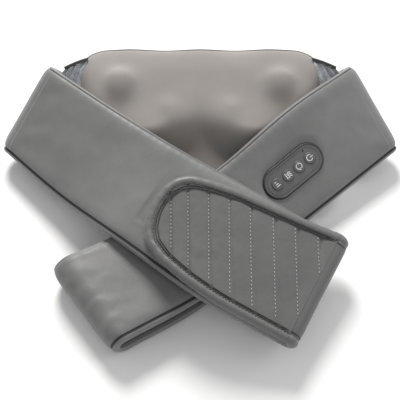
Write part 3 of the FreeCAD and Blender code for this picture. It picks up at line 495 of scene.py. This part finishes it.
def shoulder_fold(side, arm):
    """The bend from the shoulder pad up into the arm, and the pad itself."""
    normal, across = arm.normal[0], arm.across[0]
    away = unit(np.cross(across, normal))
    if np.dot(away, arm.ahead[0]) > 0:
        away = -away
    radius = ARM_THICK / 2 + FOLD_GAP
    upper, lower = arm.upper[0] - normal * radius, arm.lower[0] - normal * radius
    ups, downs, normals = bent(upper, lower, normal, away, (radius, radius))
    ups.insert(0, arm.upper[2])
    downs.insert(0, arm.lower[2])
    normals.insert(0, arm.normal[2])
    fold_thick = np.r_[ARM_THICK - 0.8, np.full(26, ARM_THICK)]
    fold = build_band(side + "_fold_leather", exact_strip(ups, downs, normals), fold_thick,
                      mats=("arm", "seam", "edge", "arm"), rough=0.5, seed=4)
    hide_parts(side + "_shoulder_fold")
    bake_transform(fold)

    sign = -1 if side == "left" else 1
    root = (np.array((sign * 126.0, 69, 76)), np.array((sign * 141.0, -46, 17)))
    end = (arm.upper[0] - normal * 2 * radius - across * 6, arm.lower[0] - normal * 2 * radius)
    middle_way = tuple((a + b) / 2 + np.array((0, 0, sag)) for a, b, sag in zip(root, end, (1.5, -2.5)))
    ups = smooth_line([end[0], middle_way[0], root[0]], 46)
    downs = smooth_line([end[1], middle_way[1], root[1]], 46)
    pad_strip = Strip(ups, downs)
    share = np.linspace(0, 1, 46)[:, None] ** 2
    pad_strip.normal = unit(normal * (1 - share) + pad_strip.normal * share)

    def crumple(p, up, share, i):
        wave = math.sin(i * 0.62 + 1.8 * noise.noise(Vector(p * 0.05)) + 3.0 * share)
        return p + up * (1.5 * wave * math.exp(-share * 2.2) + ripple(p, 9, 0.9, 5.0))

    pad = build_band(side + "_shoulder_lining", pad_strip, ARM_THICK, mats=("mesh", "seam", "edge", "arm"),
                     rough=1.2, seed=9, shape=crumple)
    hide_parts(side + "_shoulder_pad")
    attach(pad, "cushion")
    top_line = np.array([pad_strip.at(i, 0.0, 6.2) for i in range(len(ups) - 10)])
    rope(side + "_gusset_piping", top_line, pad_strip.normal[:-10], 2.6, 5.8, "cushion", "rear", sides=10)


def left_shape(p, normal, share, i):
    """Soft creases that run out from the shoulder fold and under the flap's tip."""
    near_fold = math.exp(-i / 16.0) * min(i / 10, 1)
    crease = math.sin(share * 19 + i * 0.11 + 2 * noise.noise(Vector(p * 0.03)))
    p = p + normal * (0.7 * near_fold * crease)
    if i > 92 and 0.24 < share < 0.76:  # flat under the hook patch
        height = np.dot(p - left.at(i, share, 0), normal)
        p = p - normal * max(height - ARM_THICK / 2 + 0.4, 0)
    return p


left_arm = build_band("left_arm_leather", left, ARM_THICK, rough=1.1, seed=1, shape=left_shape)
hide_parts("left_arm_cover", "left_arm_foam")
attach(left_arm, "left_arm")
shoulder_fold("left", left)

# the right arm runs down to its end, round the bend and back underneath as the hand loop
FULL_ROWS = 150  # rows of full thickness, before it thins towards the bend
low = LOOP_THICK / 2 + 1.2
flat = unit(right_top.ahead[-1] * np.array((1, 1, 0)))
tops = (right_top.upper[-1], right_top.lower[-1])
centres = [np.array((p[0], p[1], (p[2] + low) / 2)) for p in tops]
radii = [(p[2] - low) / 2 for p in tops]
bend_up, bend_down, bend_normals = bent(centres[0], centres[1], Z, flat, radii, 0.10, math.pi - 0.02, BEND_ROWS)
under_up = smooth_line([(tops[0][0], tops[0][1], low), (-95, -154, low), (-56, -128, low)], UNDER_ROWS)
under_down = smooth_line([(tops[1][0], tops[1][1], low), (0, -229, low), (26, -208, low)], UNDER_ROWS)
right = Strip(np.vstack([right_top.upper, bend_up, under_up]), np.vstack([right_top.lower, bend_down, under_down]))
right.normal = np.vstack([right_top.normal, bend_normals, np.repeat(-Z[None, :], UNDER_ROWS, 0)])
blur = right.normal.copy()
for _ in range(6):
    blur[1:-1] = (blur[:-2] + blur[1:-1] + blur[2:]) / 3
right.normal = unit(blur)
thin_rows = ARM_ROWS + BEND_ROWS - FULL_ROWS
right_thick = np.r_[np.full(FULL_ROWS, ARM_THICK), np.linspace(ARM_THICK, LOOP_THICK + 1, thin_rows),
                    np.full(UNDER_ROWS, LOOP_THICK + 1)]

# the control panel's frame, from the CAD: origin at the middle of the plate, X up the arm, Z out of its face
joint_axis = [j["axis"] for j in frame["joints"] if j["name"] == "power_press"][0]
panel_z = unit(-np.array(joint_axis))
centre_of = {n: sum((np.array(c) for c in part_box(n)), np.zeros(3)) / 2 / MM
             for n in ("control_panel", "power_button", "direction_button", "heat_button", "intensity_button")}
panel_x = unit(centre_of["power_button"] - centre_of["intensity_button"])
panel_x = unit(panel_x - panel_z * np.dot(panel_x, panel_z))
panel_y = np.cross(panel_z, panel_x)
panel_mid = centre_of["control_panel"]
PANEL_LENGTH, PANEL_WIDTH, PANEL_THICK = 78.0, 34.0, 2.4


def on_panel(x, y, z=0.0):
    """A point in mm from panel coordinates; z is measured from the plate's underside."""
    return panel_mid + panel_x * x + panel_y * y + panel_z * (z - PANEL_THICK / 2)


def outside_pill(x, y):
    """Distance outside the panel's outline, negative inside."""
    half = (PANEL_LENGTH - PANEL_WIDTH) / 2
    return math.hypot(x - max(-half, min(half, x)), y) - PANEL_WIDTH / 2


def right_shape(p, normal, share, i):
    """The leather is drawn flat round the panel, and creased near the fold and the loop."""
    rel = p - panel_mid
    x, y, z = np.dot(rel, panel_x), np.dot(rel, panel_y), np.dot(rel, panel_z) + PANEL_THICK / 2
    away = outside_pill(x, y)
    if i < FULL_ROWS and away < 16 and abs(z) < 20:
        share_flat = 1.0 if away < 1.5 else math.exp(-((away - 1.5) / 6.0) ** 2)
        target = 0.35 if away < 2.2 else 0.9
        p = p + panel_z * (target - z) * share_flat
    near_fold = math.exp(-i / 15.0) * min(i / 10, 1)
    crease = math.sin(share * 17 + i * 0.1 + 2 * noise.noise(Vector(p * 0.03)))
    near_loop = math.exp(-((i - ARM_ROWS - 2) / 12.0) ** 2)
    fine = math.sin(share * 34 + 4 * noise.noise(Vector(p * 0.05)))
    return p + normal * (0.6 * near_fold * crease + 0.35 * near_loop * fine)


right_arm = build_band("right_arm_leather", right, right_thick, rough=1.1, seed=2, shape=right_shape)
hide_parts("right_arm_cover", "right_arm_foam", "loop_under_layer", "loop_bend")
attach(right_arm, "right_arm")
shoulder_fold("right", right_top)


# ---------------------------------------------------------------- quilted flap
RISE = ARM_THICK / 2 + FLAP_THICK / 2 + 1.6
FLAP_START = 0.505
BINDING = 12.0
ARM_LENGTH = 330.0
# (place along the arm, upper edge, lower edge) as shares of the arm's length and width
OUTLINE = [(0.505, 0.39, 0.60), (0.511, 0.31, 0.72), (0.525, 0.235, 0.825), (0.550, 0.175, 0.90),
           (0.60, 0.135, 0.955), (0.68, 0.095, 0.985), (0.78, 0.07, 1.0), (0.90, 0.035, 1.0), (1.0, 0.0, 1.0)]


def flap_edges(s, inset=0.0):
    """The flap's two edges at a place along the arm, as shares of the arm's width, taken in by inset mm."""
    table = np.array(OUTLINE)
    s0 = FLAP_START + inset / ARM_LENGTH
    s = max(s, s0 + 1e-4)
    squeezed = FLAP_START + (s - s0) * (1 - FLAP_START) / (1 - s0)
    upper, lower = np.interp(squeezed, table[:, 0], table[:, 1]), np.interp(squeezed, table[:, 0], table[:, 2])
    x = s * (len(left.upper) - 1)
    width = np.interp(x, np.arange(len(left.upper)), left.width)
    return upper + inset / width, lower - inset / width


def outline_loop(inset, height, count=150):
    """Points and normals along the flap's outline, from the end of its upper edge round the tip and back."""
    places = FLAP_START + inset / ARM_LENGTH + (1 - FLAP_START - inset / ARM_LENGTH) * np.linspace(0, 1, count) ** 1.7
    rough = [(s, flap_edges(s, inset)[0]) for s in places[::-1]] + [(s, flap_edges(s, inset)[1]) for s in places]
    points = np.array([left.point(s, t, height) for s, t in rough])
    ups = np.array([left.point(s, t, height + 1) - left.point(s, t, height) for s, t in rough])
    for _ in range(5):
        points[1:-1] = (points[:-2] + points[1:-1] * 2 + points[2:]) / 4
    along = np.r_[0, np.cumsum(np.linalg.norm(np.diff(points, axis=0), axis=1))]
    even = np.linspace(0, along[-1], 2 * count)
    resample = lambda a: np.array([[np.interp(x, along, a[:, c]) for c in range(3)] for x in even])
    return resample(points), unit(resample(ups))


QUILT = [-31.0, -13.0, 9.0, 31.0, 54.0, 79.0, 103.0, 128.0]


def quilt(x):
    """Height of the quilting at a place across the channels: puffed between the sewn lines."""
    nearest = min(abs(x - line) for line in QUILT)
    return 0.9 * (1 - math.exp(-nearest / 5.0)) - 1.1 * math.exp(-(nearest / 1.3) ** 2)


def build_flap():
    rows, columns = 200, 84
    verts_rows = []
    for i in range(rows):
        s = FLAP_START + 0.012 + (1.0 - FLAP_START - 0.012) * (i / (rows - 1)) ** 1.15
        top_edge, bottom_edge = flap_edges(s, BINDING * 0.55)
        ring = []
        for j in range(columns):
            x = j / (columns - 1)
            t = top_edge + (bottom_edge - top_edge) * x
            p = left.point(s, t, 0)
            up = unit(left.point(s, t, 1) - p)
            soft = ripple(p, 22, 0.5, 3.0) + ripple(p, 8, 0.16, 6.0)
            flat = min((1 - s) / 0.035, 1)
            ring.append(p + up * (RISE + FLAP_THICK / 2 + 0.6 * (1 - flat) + flat * (quilt(p[0]) + soft - 1.4)))
        for j in reversed(range(0, columns, 3)):
            t = top_edge + (bottom_edge - top_edge) * j / (columns - 1)
            p = left.point(s, t, RISE - FLAP_THICK / 2 + 1.2)
            ring.append(p)
        verts_rows.append(ring)
    panel = tube_grid("flap_panel", verts_rows, ("flap",))
    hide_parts("quilted_flap")
    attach(panel, "flap")
    tree = tree_of(panel)

    line, ups = outline_loop(BINDING / 2, RISE)
    binding = rope("flap_binding", line, ups, BINDING, FLAP_THICK + 2.4, "flap", "binding", sides=22,
                   tone=lambda i: 1 + 0.02 * math.sin(i * 0.8))
    dark, ups = outline_loop(BINDING + 0.6, RISE + FLAP_THICK / 2 - 0.1)
    rope("flap_inner_seam", dark, ups, 1.3, 1.2, "flap", "seam", sides=8)
    sewn, ups = outline_loop(BINDING - 2.8, RISE + FLAP_THICK / 2 + 0.15)
    stitches("binding_stitches", sewn, ups, "flap", "grey_thread", 2.6, 1.3, 0.55, 0.70)
    groove, ups = outline_loop(BINDING - 1.2, RISE + FLAP_THICK / 2 + 0.1)
    rope("flap_binding_groove", groove, ups, 1.0, 1.4, "flap", "seam", sides=8)

    for number, x in enumerate(QUILT):
        points, normals = [], []
        for t in np.linspace(0.02, 0.99, 150):
            s_all = np.linspace(FLAP_START, 1, 120)
            xs = [left.point(s, t, RISE)[0] for s in s_all]
            if not xs[0] < x < xs[-1]:
                continue
            s = float(np.interp(x, xs, s_all))
            top_edge, bottom_edge = flap_edges(s, BINDING + 2.0)
            if top_edge < t < bottom_edge and s > FLAP_START + (BINDING + 2) / ARM_LENGTH:
                p = left.point(s, t, RISE)
                hit, normal = drop_on(tree, p[0], p[1])
                if hit is not None:
                    points.append(hit)
                    normals.append(normal)
        if len(points) > 8:
            stitches("quilt_stitches_%d" % number, points, normals, "flap", "pale_thread", 2.2, 2.0, 0.46, 0.40)


build_flap()


def flap_bend():
    """The turned end of the left arm, from the arm's back up into the flap."""
    normal, across = left.normal[-1], left.across[-1]
    away = unit(np.cross(normal, across))
    if np.dot(away, left.ahead[-1]) < 0:
        away = -away
    half = RISE / 2
    upper, lower = left.upper[-1] + normal * half, left.lower[-1] + normal * half
    ups, downs, normals = bent(upper, lower, -normal, away, (half, half), 0, math.pi, 30)
    ups = [left.upper[-3]] + ups + [left.upper[-4] + left.normal[-4] * RISE]
    downs = [left.lower[-3]] + downs + [left.lower[-4] + left.normal[-4] * RISE]
    normals = [-left.normal[-3]] + normals + [left.normal[-4]]
    thick = np.r_[ARM_THICK - 0.1, np.linspace(ARM_THICK - 0.1, FLAP_THICK + 1.2, 30), FLAP_THICK - 2.6]
    bend = build_band("flap_bend_leather", exact_strip(ups, downs, normals), thick,
                      mats=("flap", "seam", "edge", "flap"), rough=0.5, seed=12)
    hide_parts("flap_fold")
    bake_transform(bend)

    # the binding and its seams run on over the turned end
    outer = bent(upper, lower, -normal, away, (half + 0.2, half + 0.2), math.pi * 0.30, math.pi, 30)
    wide = np.linalg.norm(left.lower[-1] - left.upper[-1])
    over = half + FLAP_THICK / 2
    for edge, sign in (("upper", 1), ("lower", -1)):
        for part, inset, raised, size, mat in (
                ("binding", BINDING / 2, 0.0, (BINDING, FLAP_THICK + 2.4), "binding"),
                ("inner_seam", BINDING + 0.6, over + 0.5 - half, (1.3, 1.2), "seam")):
            share = inset / wide if sign > 0 else 1 - inset / wide
            ups, downs, normals = outer
            line = np.array([u + (d - u) * share + n * raised for u, d, n in zip(ups, downs, normals)])
            piece = rope("flap_bend_%s_%s" % (part, edge), line, np.array(normals), *size, None, mat, sides=18)
            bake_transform(piece)


flap_bend()


# ---------------------------------------------------------------- body
HALF_X, HALF_Y, CORNER = 146.0, 76.0, 34.0
RIM, TOP = 30.0, 65.0
PLATE_X, PLATE_Y, HEAD_REACH = 65.5, 20.0, 46.0
SIDE_POINTS, END_POINTS, CORNER_POINTS = 52, 20, 14
SMOOTHING_PASSES = 26


def outline(inset):
    """The body's rounded outline taken in by inset mm, always with the same number of points."""
    half_x, half_y = HALF_X - inset, HALF_Y - inset
    corner = max(CORNER - inset, min(half_y, 12.0 * (1 - inset / HALF_Y) + 0.05))
    spine_x, spine_y = half_x - corner, max(half_y - corner, 0)
    points = []
    for quarter, (sx, sy) in enumerate(((1, 1), (-1, 1), (-1, -1), (1, -1))):
        start = quarter * math.pi / 2
        for k in range(CORNER_POINTS):
            angle = start + math.pi / 2 * k / CORNER_POINTS
            points.append((sx * spine_x + corner * math.cos(angle), sy * spine_y + corner * math.sin(angle)))
        count = SIDE_POINTS if quarter % 2 == 0 else END_POINTS
        nx, ny = ((-1, 1), (-1, -1), (1, -1), (1, 1))[quarter]
        reach_x, reach_y = corner * math.cos(start + math.pi / 2), corner * math.sin(start + math.pi / 2)
        a = (sx * spine_x + reach_x, sy * spine_y + reach_y)
        b = (nx * spine_x + reach_x, ny * spine_y + reach_y)
        for k in range(count):
            points.append((a[0] + (b[0] - a[0]) * k / count, a[1] + (b[1] - a[1]) * k / count))
    return np.array(points)


def closing_faces(first):
    """Faces that close the innermost outline: strips between its two long sides, and a face at each end."""
    right_side = 4 * CORNER_POINTS + 2 * SIDE_POINTS + END_POINTS
    left_side = 2 * CORNER_POINTS + SIDE_POINTS
    faces = [(first + j, first + j + 1, first + right_side - j - 1, first + right_side - j)
             for j in range(left_side)]
    faces.append(tuple(first + left_side + j for j in range(END_POINTS + 1)))
    faces.append(tuple(first + (right_side + j) % (right_side + END_POINTS) for j in range(END_POINTS + 1)))
    return faces


def lifted(y, level):
    """Height in mm at y of the tilted plane at that level of the mechanism's frame."""
    return LIFT + y * math.tan(TILT) + level / math.cos(TILT)


def rim_level(x, y):
    """Level of the seam between the fabric and the leather: low in front, up at the crown behind."""
    rise = min(max((y - 8 + 0.10 * max(abs(x) - 100, 0)) / 58, 0), 1)
    return RIM + 25.0 * rise * rise * (3 - 2 * rise) + 1.3 * math.cos(x * 0.075) * rise


def heads_at_rest():
    """Where the four heads push the cloth up, from their CAD boxes: (x, y, rise, spread)."""
    found = []
    for name, rise, spread in (("left_tall_head", 15.0, 14.5), ("right_tall_head", 15.0, 14.5),
                               ("left_short_head", 4.0, 9.0), ("right_short_head", 4.0, 9.0)):
        low_corner, high_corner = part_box(name)
        middle = (np.array(low_corner) + np.array(high_corner)) / 2 / MM
        found.append((middle[0], middle[1] - 2.0, rise, spread))
    return found


def depth_inside(x, y):
    """Distance in mm from a point inside the body's outline to the outline."""
    away_x, away_y = abs(x) - HALF_X + CORNER, abs(y) - HALF_Y + CORNER
    return CORNER - math.hypot(max(away_x, 0), max(away_y, 0)) - min(max(away_x, away_y), 0)


def cloth_level(x, y, heads):
    """Level of the stretched cloth in the mechanism's frame."""
    x_in = min(max(depth_inside(x, y), 0) / 34.0, 1.0)
    round_over = (1 - (1 - x_in) ** 2.3) ** 0.55
    free = min(max((math.hypot(abs(x) - PLATE_X, y - PLATE_Y) - HEAD_REACH) / 36, 0), 1)
    crown = TOP - 1.5 - 32 / (1 + math.exp((y + 28) / 10.5)) * free * free * (3 - 2 * free)
    rim = rim_level(x, y)
    level = rim + (max(crown, rim) - rim) * round_over
    for hx, hy, rise, spread in heads:
        away = math.hypot(x - hx, (y - hy) * (0.74 if y < hy else 1.05))
        level += rise / (1 + math.exp((away - spread) / 4.8))
    valley = math.exp(-((abs(x) - 66) / 30) ** 2 - ((y + 2) / 26) ** 2)
    return level - 1.2 * valley


def build_body():
    heads = heads_at_rest()
    trees = [tree_of(o) for o in (left_arm, right_arm)]
    insets = np.r_[0, 0.25, 0.8, np.linspace(1.8, HALF_Y - 0.3, 62)]
    rings = []
    caps = []
    for inset in insets:
        ring = outline(inset)
        z = []
        cap = []
        for x, y in ring:
            z.append(lifted(y, cloth_level(x, y, heads)))
            ceiling = 500.0
            for tree in trees:
                hit, _, _, _ = tree.ray_cast(Vector((x * MM, y * MM, 0)), Vector((0, 0, 1)))
                if hit is not None:
                    ceiling = min(ceiling, hit.z / MM - 1.0)
            cap.append(ceiling)
        rings.append(np.c_[ring, z])
        caps.append(cap)
    rings, caps = np.array(rings), np.array(caps)
    floor = np.array([[lifted(y, min(RIM, rim_level(x, y))) for x, y, _ in ring] for ring in rings])
    for _ in range(SMOOTHING_PASSES):
        z = rings[:, :, 2]
        z = np.minimum(z, np.maximum(caps, floor - 4))
        inner = (z[:-2] + z[2:] + np.roll(z, 1, 1)[1:-1] + np.roll(z, -1, 1)[1:-1]) / 4
        pressed = caps[1:-1] < 400
        near = pressed | np.roll(pressed, 3, 1) | np.roll(pressed, -3, 1)
        blend_share = np.where(near, 0.6, 0.0)
        z[1:-1] = z[1:-1] * (1 - blend_share) + inner * blend_share
        rings[:, :, 2] = np.minimum(z, np.maximum(caps, floor - 4))
    count, size = len(insets), rings.shape[1]
    verts = list(rings.reshape(-1, 3))
    faces = []
    for i in range(count - 1):
        for j in range(size):
            a, b = i * size + j, i * size + (j + 1) % size
            faces.append((a, b, b + size, a + size))
    faces += closing_faces((count - 1) * size)
    skirt = rings[0].copy()
    skirt[:, :2] *= 0.985
    skirt[:, 2] -= 3.0
    base = len(verts)
    verts += list(skirt)
    for j in range(size):
        faces.append((j, (j + 1) % size, base + (j + 1) % size, base + j))
    cloth = fix_normals(new_mesh("body_stretch_cloth", verts, faces, ("cloth",)))
    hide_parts("front_cover", "body_foam")
    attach(cloth, "cushion")

    # leather tray: side wall, rounded lower edge and flat back
    rows = []
    for share in np.linspace(0, 1, 12):
        ring = outline(-1.6 * math.sin(math.pi * min(share * 1.2, 1)))
        rows.append([(x, y, 9 + (lifted(y, rim_level(x, y)) - 9) * (1 - share)) for x, y in ring])
    for angle in np.linspace(0.15, math.pi / 2, 8):
        ring = outline(9 * (1 - math.cos(angle)))
        rows.append([(x, y, 9 - 9 * math.sin(angle)) for x, y in ring])
    for inset in np.linspace(11, HALF_Y - 0.3, 22):
        rows.append([(x, y, 0.0) for x, y in outline(inset)])
    rows = np.array(rows)
    verts = list(rows.reshape(-1, 3))
    for k, p in enumerate(verts):
        if p[2] > 1.0:
            wall = unit(np.array((p[0] / 2, p[1], 0)))
            verts[k] = p + wall * (ripple(p, 24, 0.7, 2.0) + ripple(p, 9, 0.2, 4.0))
    faces = []
    for i in range(len(rows) - 1):
        for j in range(size):
            a, b = i * size + j, i * size + (j + 1) % size
            faces.append((a, b, b + size, a + size))
    faces += closing_faces((len(rows) - 1) * size)
    tray = fix_normals(new_mesh("body_back_leather", verts, faces, ("rear",)))
    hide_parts("rear_cover")
    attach(tray, "cushion")

    ring = outline(-0.6)
    line = np.array([(x, y, lifted(y, rim_level(x, y))) for x, y in ring])
    outward = unit(np.c_[ring[:, 0] / 2, ring[:, 1], np.full(len(ring), 30.0)])
    rope("rim_piping", line, outward, 2.4, 2.4, "cushion", "rear", closed=True, sides=10)
    ring = outline(1.2)
    line = np.array([(x, y, 5.2) for x, y in ring])
    down = np.repeat(-Z[None, :], len(ring), 0)
    rope("back_piping", line, down, 2.6, 2.6, "cushion", "rear", closed=True, sides=10)
    ring = outline(16.0)
    line = np.array([(x, y, 0.0) for x, y in ring])
    stitches("back_stitches", line, down, "cushion", "dark_thread", 2.6, 1.8, 0.32, 0.0)


build_body()


def charge_bezel():
    """The rubber surround of the charging inlet in the back wall, with its dark slot."""
    low_corner, high_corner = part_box("charging_socket")
    middle = (np.array(low_corner) + np.array(high_corner)) / 2 / MM
    for name, long, tall, inner, mat, face in (("inlet_surround", 17.0, 9.0, 0.66, "rim", 79.2),
                                               ("inlet_slot", 10.2, 4.0, 0.0, "lens", 78.6)):
        loops = []
        mouth = max(inner, 0.02)
        for shrink, y in ((1.0, face - 3.4), (1.0, face - 0.5), (0.95, face), (mouth, face - (0.2 if inner else 0)),
                          (mouth * 0.98, face - 1.6)):
            ring = []
            for k in range(40):
                angle = 2 * math.pi * k / 40
                cx = math.copysign(abs(math.cos(angle)) ** 0.6, math.cos(angle))
                cz = math.copysign(abs(math.sin(angle)) ** 0.8, math.sin(angle))
                ring.append((middle[0] + cx * long / 2 * shrink, y, middle[2] + cz * tall / 2 * shrink))
            loops.append(ring)
        piece = tube_grid(name, loops, (mat,))
        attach(piece, "cushion")


charge_bezel()


# ---------------------------------------------------------------- control panel trim
def pill_line(offset, z, count=120):
    """Points round a pill outline of the panel grown by offset mm."""
    straight, radius = (PANEL_LENGTH - PANEL_WIDTH) / 2, PANEL_WIDTH / 2 + offset
    total = 4 * straight + 2 * math.pi * radius
    points = []
    for k in range(count):
        d = total * k / count
        if d < 2 * straight:
            x, y = -straight + d, -radius
        elif d < 2 * straight + math.pi * radius:
            angle = (d - 2 * straight) / radius - math.pi / 2
            x, y = straight + radius * math.cos(angle), radius * math.sin(angle)
        elif d < 4 * straight + math.pi * radius:
            x, y = straight - (d - 2 * straight - math.pi * radius), radius
        else:
            angle = (d - 4 * straight - math.pi * radius) / radius + math.pi / 2
            x, y = -straight + radius * math.cos(angle), radius * math.sin(angle)
        points.append(on_panel(x, y, z))
    return np.array(points)


ups = np.repeat(panel_z[None, :], 120, 0)
rope("panel_rim", pill_line(0.5, 1.7), ups, 2.2, 2.4, "right_arm", "rim", closed=True, sides=12,
     slot="panel_rubber")
rope("panel_gap", pill_line(1.9, 1.0), ups, 1.3, 1.0, "right_arm", "seam", closed=True, sides=8,
     slot="panel_rubber")
line = np.vstack([pill_line(-2.9, PANEL_THICK), pill_line(-2.9, PANEL_THICK)[:1]])
stitches("panel_stitches", line, np.vstack([ups, ups[:1]]), "right_arm", "dark_thread", 1.9, 1.3, 0.44, 0.12)


def ribbon(name, strokes, button, body, wide=0.85):
    """White printed strokes on a key: each stroke is a list of (x, y) in mm about the key's middle."""
    key = centre_of[button]
    rel = key - panel_mid
    cx, cy = np.dot(rel, panel_x), np.dot(rel, panel_y)
    verts, faces = [], []
    for stroke in strokes:
        p = np.array(stroke, float)
        ahead = unit(np.gradient(p, axis=0))
        side = np.c_[-ahead[:, 1], ahead[:, 0]] * wide / 2
        first = len(verts)
        for i in range(len(p)):
            for edge in (p[i] - side[i], p[i] + side[i]):
                for z in (3.38, 3.52):
                    verts.append(on_panel(cx + edge[0], cy + edge[1], z))
        for i in range(len(p) - 1):
            a = first + i * 4
            faces += [(a + 1, a + 3, a + 7, a + 5), (a, a + 1, a + 5, a + 4), (a + 3, a + 2, a + 6, a + 7),
                      (a, a + 4, a + 6, a + 2)]
        last = first + (len(p) - 1) * 4
        faces += [(first, first + 2, first + 3, first + 1), (last, last + 1, last + 3, last + 2)]
    piece = fix_normals(new_mesh(name, verts, faces, ("icon",), smooth=False))
    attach(piece, body)


def arc(cx, cy, radius, first, last, count=26):
    return [(cx + radius * math.cos(math.radians(a)), cy + radius * math.sin(math.radians(a)))
            for a in np.linspace(first, last, count)]


# icons are upright when the panel is seen with its power key at the top: up is panel X, right is minus panel Y
def upright(strokes):
    return [[(y, -x) for x, y in stroke] for stroke in strokes]


power = [arc(0, -0.3, 3.5, 128, 412), [(0, 0.2), (0, 4.3)]]
turning = [arc(0, 0, 3.5, 18, 158), arc(0, 0, 3.5, 198, 338),
           [(-4.7, 0.2), (-3.3, 1.4), (-2.1, 0.0)], [(4.7, -0.2), (3.3, -1.4), (2.1, 0.0)]]
heat = [[(x + 0.6 * math.sin(k * 0.62), -1.6 + k * 0.40) for k in range(15)] for x in (-2.3, 0, 2.3)] \
    + [[(-3.6, -3.0), (3.6, -3.0)]]
level = [[(x, -2.6), (x, h)] for x, h in ((-2.5, -0.2), (0.0, 1.2), (2.5, 2.6))]
ribbon("power_icon", upright(power), "power_button", "power_key")
ribbon("direction_icon", upright(turning), "direction_button", "direction_key")
ribbon("heat_icon", upright(heat), "heat_button", "heat_key")
ribbon("level_icon", upright(level), "intensity_button", "intensity_key")


# ---------------------------------------------------------------- finishes of the CAD pieces
INNER = {
    "housing_plastic": ((0.022, 0.022, 0.024), 0.5, 0.0), "plate_plastic": ((0.040, 0.040, 0.046), 0.5, 0.0),
    "head_plastic": ((0.35, 0.33, 0.30), 0.5, 0.0), "gear_plastic": ((0.74, 0.72, 0.65), 0.42, 0.0),
    "shaft_steel": ((0.50, 0.50, 0.51), 0.30, 1.0), "screw_steel": ((0.42, 0.42, 0.43), 0.34, 1.0),
    "motor_steel": ((0.38, 0.38, 0.40), 0.36, 1.0), "bush_brass": ((0.50, 0.32, 0.10), 0.38, 1.0),
    "bearing_plastic": ((0.60, 0.58, 0.53), 0.5, 0.0), "cell_wrap": ((0.03, 0.10, 0.25), 0.32, 0.0),
    "case_plastic": ((0.014, 0.014, 0.015), 0.5, 0.0), "circuit_board": ((0.010, 0.075, 0.028), 0.38, 0.0),
    "socket_metal": ((0.46, 0.46, 0.47), 0.3, 1.0), "heating_foil": ((0.34, 0.10, 0.015), 0.35, 0.0),
    "hook_tape": ((0.012, 0.012, 0.013), 0.95, 0.0), "switch_plastic": ((0.012, 0.012, 0.013), 0.45, 0.0),
}
slot_of = {s["node"]: s["material_slot"] for s in frame["record"]["subparts"]}
made_slots = {"panel_rubber": MATS["panel"], "button_rubber": MATS["key"], "lens_plastic": MATS["lens"],
              "cover_leather": MATS["arm"], "stretch_fabric": MATS["cloth"], "mesh_lining": MATS["mesh"],
              "padding": MATS["cloth"]}
for key, (tone, rough, metal) in INNER.items():
    made_slots[key] = plain_rough(key, tone, rough, 0.25, 1300, metal)
for name, obj in frame["nodes"].items():
    finish = made_slots[slot_of[name]]
    if not obj.material_slots:
        obj.data.materials.append(finish)
    for place in obj.material_slots:
        place.material = finish


# ---------------------------------------------------------------- stage, light and camera
def stage_floor():
    mesh = bpy.data.meshes.new("floor")
    mesh.from_pydata([(-6, -6, 0), (6, -6, 0), (6, 6, 0), (-6, 6, 0)], [], [(0, 1, 2, 3)])
    floor = bpy.data.objects.new("floor", mesh)
    bpy.context.scene.collection.objects.link(floor)
    m = Mat("floor_paper")
    floor.data.materials.append(m.finish((0.86, 0.86, 0.86, 1), 0.9, None))


def lamp(name, place, aim, size, power, tone=(1, 1, 1)):
    data = bpy.data.lights.new(name, "AREA")
    data.shape, data.size, data.energy, data.color = "DISK", size, power, tone
    obj = bpy.data.objects.new(name, data)
    bpy.context.scene.collection.objects.link(obj)
    obj.location = place
    obj.rotation_euler = (Vector(aim) - Vector(place)).to_track_quat("-Z", "Y").to_euler()


stage_floor()
lamp("key_light", (-0.25, 1.35, 1.35), (0, -0.08, 0.04), 0.7, 50, (1.0, 0.99, 0.97))
lamp("fill_light", (0.5, -1.3, 1.5), (0, -0.1, 0.04), 1.6, 2.5)
lamp("side_light", (1.5, 0.1, 1.0), (0, -0.1, 0.04), 1.0, 6)
world = bpy.data.worlds.new("studio")
world.use_nodes = True
world.node_tree.nodes["Background"].inputs["Color"].default_value = (1, 1, 1, 1)
world.node_tree.nodes["Background"].inputs["Strength"].default_value = 0.52
bpy.context.scene.world = world
bpy.context.scene.view_settings.view_transform = "Standard"

camera = bpy.data.cameras.new("camera")
camera.lens = 78.4
camera.sensor_width = 36
camera_object = bpy.data.objects.new("camera", camera)
camera_object.location = (0, -0.606, 0.901)
camera_object.rotation_euler = (math.radians(30), 0, 0)
bpy.context.scene.collection.objects.link(camera_object)
bpy.context.scene.camera = camera_object
